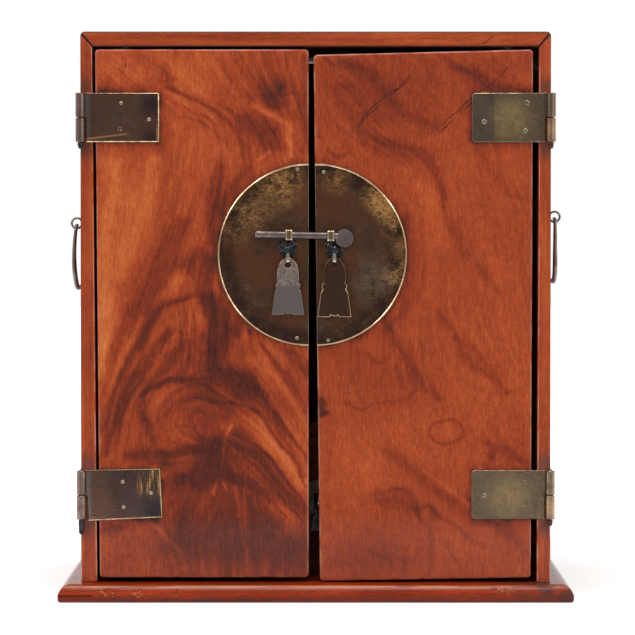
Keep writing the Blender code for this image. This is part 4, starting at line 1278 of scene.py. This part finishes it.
def make_drop_eye(node, body, x, size):
    """A bowed wire eye on a rose with four wire curls."""
    eye = Box(node)
    z = eye.middle.z
    wire_radius = eye.size.z / 2
    half = eye.size.x / 2 - wire_radius
    bend = 0.45 * half
    bend_y = eye.low.y + wire_radius + bend
    bow = arc((x - half + bend, bend_y), bend, 180, 270, 6)
    bow += arc((x + half - bend, bend_y), bend, 270, 360, 6)
    loop = [(x - half, eye.high.y)] + bow + [(x + half, eye.high.y)]
    form = Form()
    sweep(form, [(px, py, z) for px, py in loop], round_section(wire_radius), (0, 0, 1))
    rose = 0.0056 * size
    profile = [(0.0, 0.0), (rose, 0.0), (rose, 0.0004), (0.8 * rose, 0.0009), (0.7 * rose, 0.0005),
               (0.55 * rose, 0.0006), (0.35 * rose, 0.0012), (0.0, 0.0013)]
    lathe(form, profile, (x, eye.high.y, z), (0, -1, 0), sides=22)
    for turn_x, turn_z in ((-0.62, 0.35), (0.62, 0.35), (-0.45, -0.6), (0.45, -0.6)):
        curl = arc((x + turn_x * rose, z + turn_z * rose), 0.0025 * size, 0, 345, 23)
        path = [(px, eye.high.y - 0.0011, pz) for px, pz in curl]
        sweep(form, path, round_section(0.00045 * size, 8), (0, 1, 0), closed=True)
    form.piece(node + "_loop", ["dark_iron"], body, node)


def make_bail(side, word):
    """A bail handle of thick wire that thins to its ends; the left one has been bent a little outwards."""
    node = "bail_" + word
    bail = Box(node)
    thick = bail.size.x / 2
    thin_share = 0.75
    pivot_z = bail.high.z - thin_share * thick
    foot_z = bail.low.z + thick
    leg_y = bail.low.y + thick
    bend = 0.0030
    corner = 0.0140
    play = 0.0012
    stub = 0.0034
    end_y = leg_y + bend + play + BAIL_EYE_WIRE + stub
    start = [(end_y, pivot_z)] + arc((leg_y + bend, pivot_z - bend), bend, 90, 180, 8)
    leg = [(leg_y, z) for z in np.linspace(pivot_z - 2 * bend, foot_z + corner, 8)]
    turn = arc((leg_y + corner, foot_z + corner), corner, 180, 270, 12)[1:]
    rail = [(y, foot_z) for y in np.linspace(leg_y + corner, 0.0, 8)[1:]]
    front = start + leg + turn + rail
    rear = [(-y, z) for y, z in reversed(front[:-1])]
    growth = np.minimum(1, np.linspace(0, 4, len(front) - len(start)))
    scales = [thin_share] * len(start) + list(thin_share + (1 - thin_share) * growth)
    bow = 0.0015 * side if side < 0 else 0.0
    turns = math.pi / (pivot_z - foot_z)
    path = [(bail.middle.x + bow * math.sin(turns * (pivot_z - z)), y, z) for y, z in front + rear]
    form = Form()
    sweep(form, path, round_section(thick, 14), (1, 0, 0), scales=scales + scales[-2::-1])
    form.piece(node + "_handle", ["bail_iron"], word + "_bail", node)
    for place in ("front", "rear"):
        make_bail_eye(side, "bail_eye_" + word + "_" + place)


def make_bail_eye(side, node):
    """A ring eye on a domed rose."""
    eye = Box(node)
    y = eye.middle.y
    z = eye.middle.z
    inner_x, outer_x = sorted((abs(eye.low.x), abs(eye.high.x)))
    ring_x = outer_x - BAIL_EYE_WIRE - BAIL_EYE_RING
    form = Form()
    circle = [(px, y, pz) for px, pz in arc((side * ring_x, z), BAIL_EYE_RING, 0, 350, 35)]
    sweep(form, circle, round_section(BAIL_EYE_WIRE * 1.35, 10), (0, 1, 0), closed=True)
    reach = ring_x - BAIL_EYE_RING - inner_x
    profile = [(0.0, 0.0), (0.0036, 0.0), (0.0036, 0.0003), (0.0028, 0.0009), (0.0014, 0.0012),
               (0.0010, 0.0016), (0.0009, reach), (0.0, reach + 0.0003)]
    lathe(form, profile, (side * inner_x, y, z), (side, 0, 0), sides=20)
    form.piece(node + "_ring", ["bail_iron"], "case", node)


def chipped(x, z):
    """How far the chips in the base board's front edge set it back."""
    depth = 0.0005
    return sum(depth * math.exp(-((x - cx) ** 2 + (z - cz) ** 2) / size ** 2) for cx, cz, size in BASE_CHIPS)


def make_base():
    """The base board: a bullnose round its top, chips in its edge, and a let-in strip at its left foot."""
    high = Box("base_board").high
    round_up = 0.0090
    round_in = 0.0080
    foot = 0.0018
    strip_end_x = -0.1490
    strip_top = 0.0046
    strip_depth = 0.0006
    joint_depth = 0.0014
    profile = [(0.0030, 0.0), (foot, 0.0), (0.3 * foot, 0.3 * foot), (0.0, foot), (0.0, strip_top - 0.0006),
               (0.0, strip_top), (0.0, strip_top + 0.0005)]
    bullnose = [(round_in * d, high.z - round_up + round_up * z) for d, z in arc((1, 0), 1, 180, 90, 14)]
    profile += [(d, z) for d, z in bullnose if z > strip_top + 0.0006]
    form = Form()
    rings = []
    for depth, z in profile:
        half_x = high.x - depth
        half_y = high.y - depth
        front = []
        for x in np.linspace(-half_x, half_x, 171, endpoint=False):
            back = chipped(x, z)
            if x < strip_end_x and z <= strip_top:
                back += joint_depth if z == strip_top else strip_depth
            front.append((x, back - half_y, z))
        along = np.linspace(-half_y, half_y, 128, endpoint=False)
        loop = front + [(half_x, y, z) for y in along]
        loop += [(-x, half_y, z) for x, _, _ in front] + [(-half_x, -y, z) for y in along]
        rings.append(form.ring(loop))
    form.skin(rings)
    form.piece("base_moulding", ["base_wood"], "case", "base_board", sharp=40)


def make_cracks():
    """Fine drying cracks in the right door and the top board, and a worm slit in the left door."""
    section = [(-1.0, -0.02 * MM), (0.0, -0.06 * MM), (1.0, -0.02 * MM), (0.0, 0.02 * MM)]
    half_width = 0.00042
    shake = 0.00025
    for node, body, cracks in CRACKS:
        face_y = Box(node).low.y
        random = np.random.RandomState(5)
        form = Form()
        for points in cracks:
            path = smooth_path(points, 1.5) * MM
            path[1:-1] += random.normal(scale=shake, size=path[1:-1].shape)
            widths = half_width * np.sin(np.linspace(0.15, math.pi - 0.15, len(path)))
            widths *= random.uniform(0.5, 1.2, len(path))
            rings = []
            for (x, z), (run_x, run_z), half in zip(path, np.gradient(path, axis=0), widths):
                way = Vector((-run_z, run_x)).normalized() * half
                ring = [(x + way.x * s, face_y + lift, z + way.y * s) for s, lift in section]
                rings.append(form.ring(ring))
            form.skin(rings)
        form.piece(node + "_cracks", ["crack_wood"], body)


def round_corner(work, corner, radius):
    """Rounds the case's upper outer corners, where the top meets the sides, by bending boards there."""
    centre_x = corner.x - radius
    centre_z = corner.z - radius
    for share in (0.0, 0.25, 0.5, 0.75):
        cuts = [((0, 0, centre_z + share * radius), (0, 0, 1))]
        cuts += [((side * (centre_x + share * radius), 0, 0), (side, 0, 0)) for side, _ in SIDES]
        for place, normal in cuts:
            everything = work.verts[:] + work.edges[:] + work.faces[:]
            bmesh.ops.bisect_plane(work, geom=everything, dist=5e-5, plane_co=place, plane_no=normal)
    for vert in work.verts:
        p = min(1, (abs(vert.co.x) - centre_x) / radius)
        q = min(1, (vert.co.z - centre_z) / radius)
        if p > 0 and q > 0:
            vert.co.x = math.copysign(centre_x + radius * p * math.sqrt(1 - q * q / 2), vert.co.x)
            vert.co.z = centre_z + radius * q * math.sqrt(1 - p * p / 2)


def make_board(node, material, body):
    """A CAD board with its edges rounded over, the rounding marked pale as worn and as a painted highlight,
    and mitres marked as dark.
    """
    narrow = 6e-4
    work = bmesh.new()
    work.from_mesh(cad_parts[node].data)
    bmesh.ops.remove_doubles(work, verts=work.verts, dist=1e-6)
    bmesh.ops.dissolve_limit(work, angle_limit=math.radians(1), verts=work.verts, edges=work.edges)
    sharp = [edge for edge in work.edges if edge.is_manifold and edge.calc_face_angle() > math.radians(25)]
    bmesh.ops.bevel(work, geom=sharp, offset=BOARD_EDGE, segments=2, profile=0.6, affect="EDGES")
    corner = Box("top_board").high
    wear_and_highlight = work.verts.layers.float.new("wear_and_highlight")
    # Rounded edges get 1, pale as worn and as a painted highlight; mitres get -1, dark joints
    for vert in work.verts:
        mitred = abs((abs(vert.co.x) - corner.x) - (vert.co.z - corner.z)) < 3 * MM
        edged = all(face.calc_area() < narrow for face in vert.link_faces)
        vert[wear_and_highlight] = (-1.0 if mitred else 1.0) if edged else 0.0
    if node in ("side_left", "side_right", "top_board"):
        round_corner(work, corner, CASE_CORNER)
    for face in work.faces:
        face.material_index = 0
    put_piece(work, bpy.data.meshes.new(node + "_wood"), [material], body, node)


def make_boards():
    """The case's boards and the drawer's."""
    for _, word in SIDES:
        make_board("side_" + word, "case_wood_upright", "case")
    make_board("top_board", "case_wood_level", "case")
    make_board("back_panel", "inner_wood_upright", "case")
    make_board("drawer_shelf", "inner_wood", "case")
    for part in ("front", "side_left", "side_right", "back", "bottom"):
        make_board("drawer_" + part, "inner_wood", "drawer")
    make_board("drawer_pull_plate", "hinge_brass", "drawer")


def seen_directly(tree):
    """1 for rays from the camera, mirrors and glass, and 0 for the light that falls on things."""
    path = tree.nodes.new("ShaderNodeLightPath")
    seen = path.outputs["Is Camera Ray"]
    for name in ("Is Glossy Ray", "Is Transmission Ray"):
        seen = tree.math("MAXIMUM", seen, path.outputs[name])
    return seen


def make_floor():
    """A pale table top, plain white to the eye far away and taking the chest's shadow near it."""
    reach = 6.0
    front = 0.60
    drop = 0.0003
    mesh = bpy.data.meshes.new("floor")
    corners = [(-reach, -front, 0), (reach, -front, 0), (reach, reach, 0), (-reach, reach, 0)]
    mesh.from_pydata(corners, [], [(0, 1, 2, 3)])
    floor = bpy.data.objects.new("floor", mesh)
    floor.location.z = -drop
    bpy.context.scene.collection.objects.link(floor)
    tree = Tree(bpy.data.materials.new("floor"))
    tree.nodes.remove(tree.nodes["Principled BSDF"])
    away = tree.node("VectorMath", {0: tree.place}, "Value", operation="LENGTH")
    strength = tree.product(seen_directly(tree), tree.spread(away, 0.15, 0.7, 0.45, 1.0))
    glow = tree.node("Emission", {"Strength": strength})
    matt = tree.node("BsdfDiffuse", {"Color": (0.75, 0.75, 0.75)})
    both = tree.node("AddShader", {0: matt, 1: glow})
    tree.put(tree.nodes["Material Output"].inputs["Surface"], both)
    mesh.materials.append(tree.owner)


def make_surround():
    """White all round to the eye; reflections see it dimmer on the photographer's side."""
    world = bpy.data.worlds.new("studio")
    bpy.context.scene.world = world
    tree = Tree(world, "Generated")
    light_level = 0.55
    mirrored = tree.spread(tree.axis("Y"), -0.9, 0.5, 0.40, 1.0)
    seen = tree.math("MAXIMUM", tree.node("LightPath", result="Is Camera Ray"), mirrored)
    strength = tree.node("Mix", {0: seen_directly(tree), 2: light_level, 3: seen})
    backdrop = tree.nodes["Background"]
    tree.put(backdrop.inputs["Color"], (1.0, 1.0, 1.0))
    tree.put(backdrop.inputs["Strength"], strength)


def make_studio():
    """A pale floor, soft lamps, a white surround and the photograph's camera."""
    scene = bpy.context.scene
    scene.view_settings.view_transform = "Standard"
    make_floor()
    make_surround()
    for name, place, size, power in LAMPS:
        lamp = bpy.data.lights.new(name, "AREA")
        lamp.size = size
        lamp.energy = power
        holder = bpy.data.objects.new(name, lamp)
        holder.location = place
        holder.rotation_euler = (LAMP_AIM - Vector(place)).to_track_quat("-Z", "Y").to_euler()
        scene.collection.objects.link(holder)

    camera = bpy.data.objects.new("camera", bpy.data.cameras.new("camera"))
    camera.data.lens = CAMERA_LENS
    camera.data.sensor_width = SENSOR_WIDTH
    camera.location = (CAMERA_X, Box("door_left").low.y - CAMERA_DISTANCE, CAMERA_Z)
    camera.rotation_euler = (math.pi / 2 - CAMERA_TILT, 0.0, 0.0)
    scene.collection.objects.link(camera)
    scene.camera = camera


def make_chest():
    """Every piece of the chest."""
    make_materials()
    make_boards()
    make_base()
    for side, word in SIDES:
        make_door(word)
        for level in LEVELS:
            make_hinge(side, word, level)
        make_lock_plate(side, word)
        make_staple(word)
        names = ("pendant_eye_" + word, "pendant_link_" + word, "pendant_" + word)
        finish, edge = ("pendant_grey", "pendant_grey") if side < 0 else ("pendant_bronze", "pendant_edge")
        make_drop(names, word + "_door", word + "_pendant", finish, edge)
        make_bail(side, word)
    make_lock_pin()
    names = ("drawer_pull_eye", "drawer_pull_link", "drawer_pull_drop")
    make_drop(names, "drawer", "drawer_drop", "dark_iron", "dark_iron")
    make_cracks()


make_studio()
make_chest()
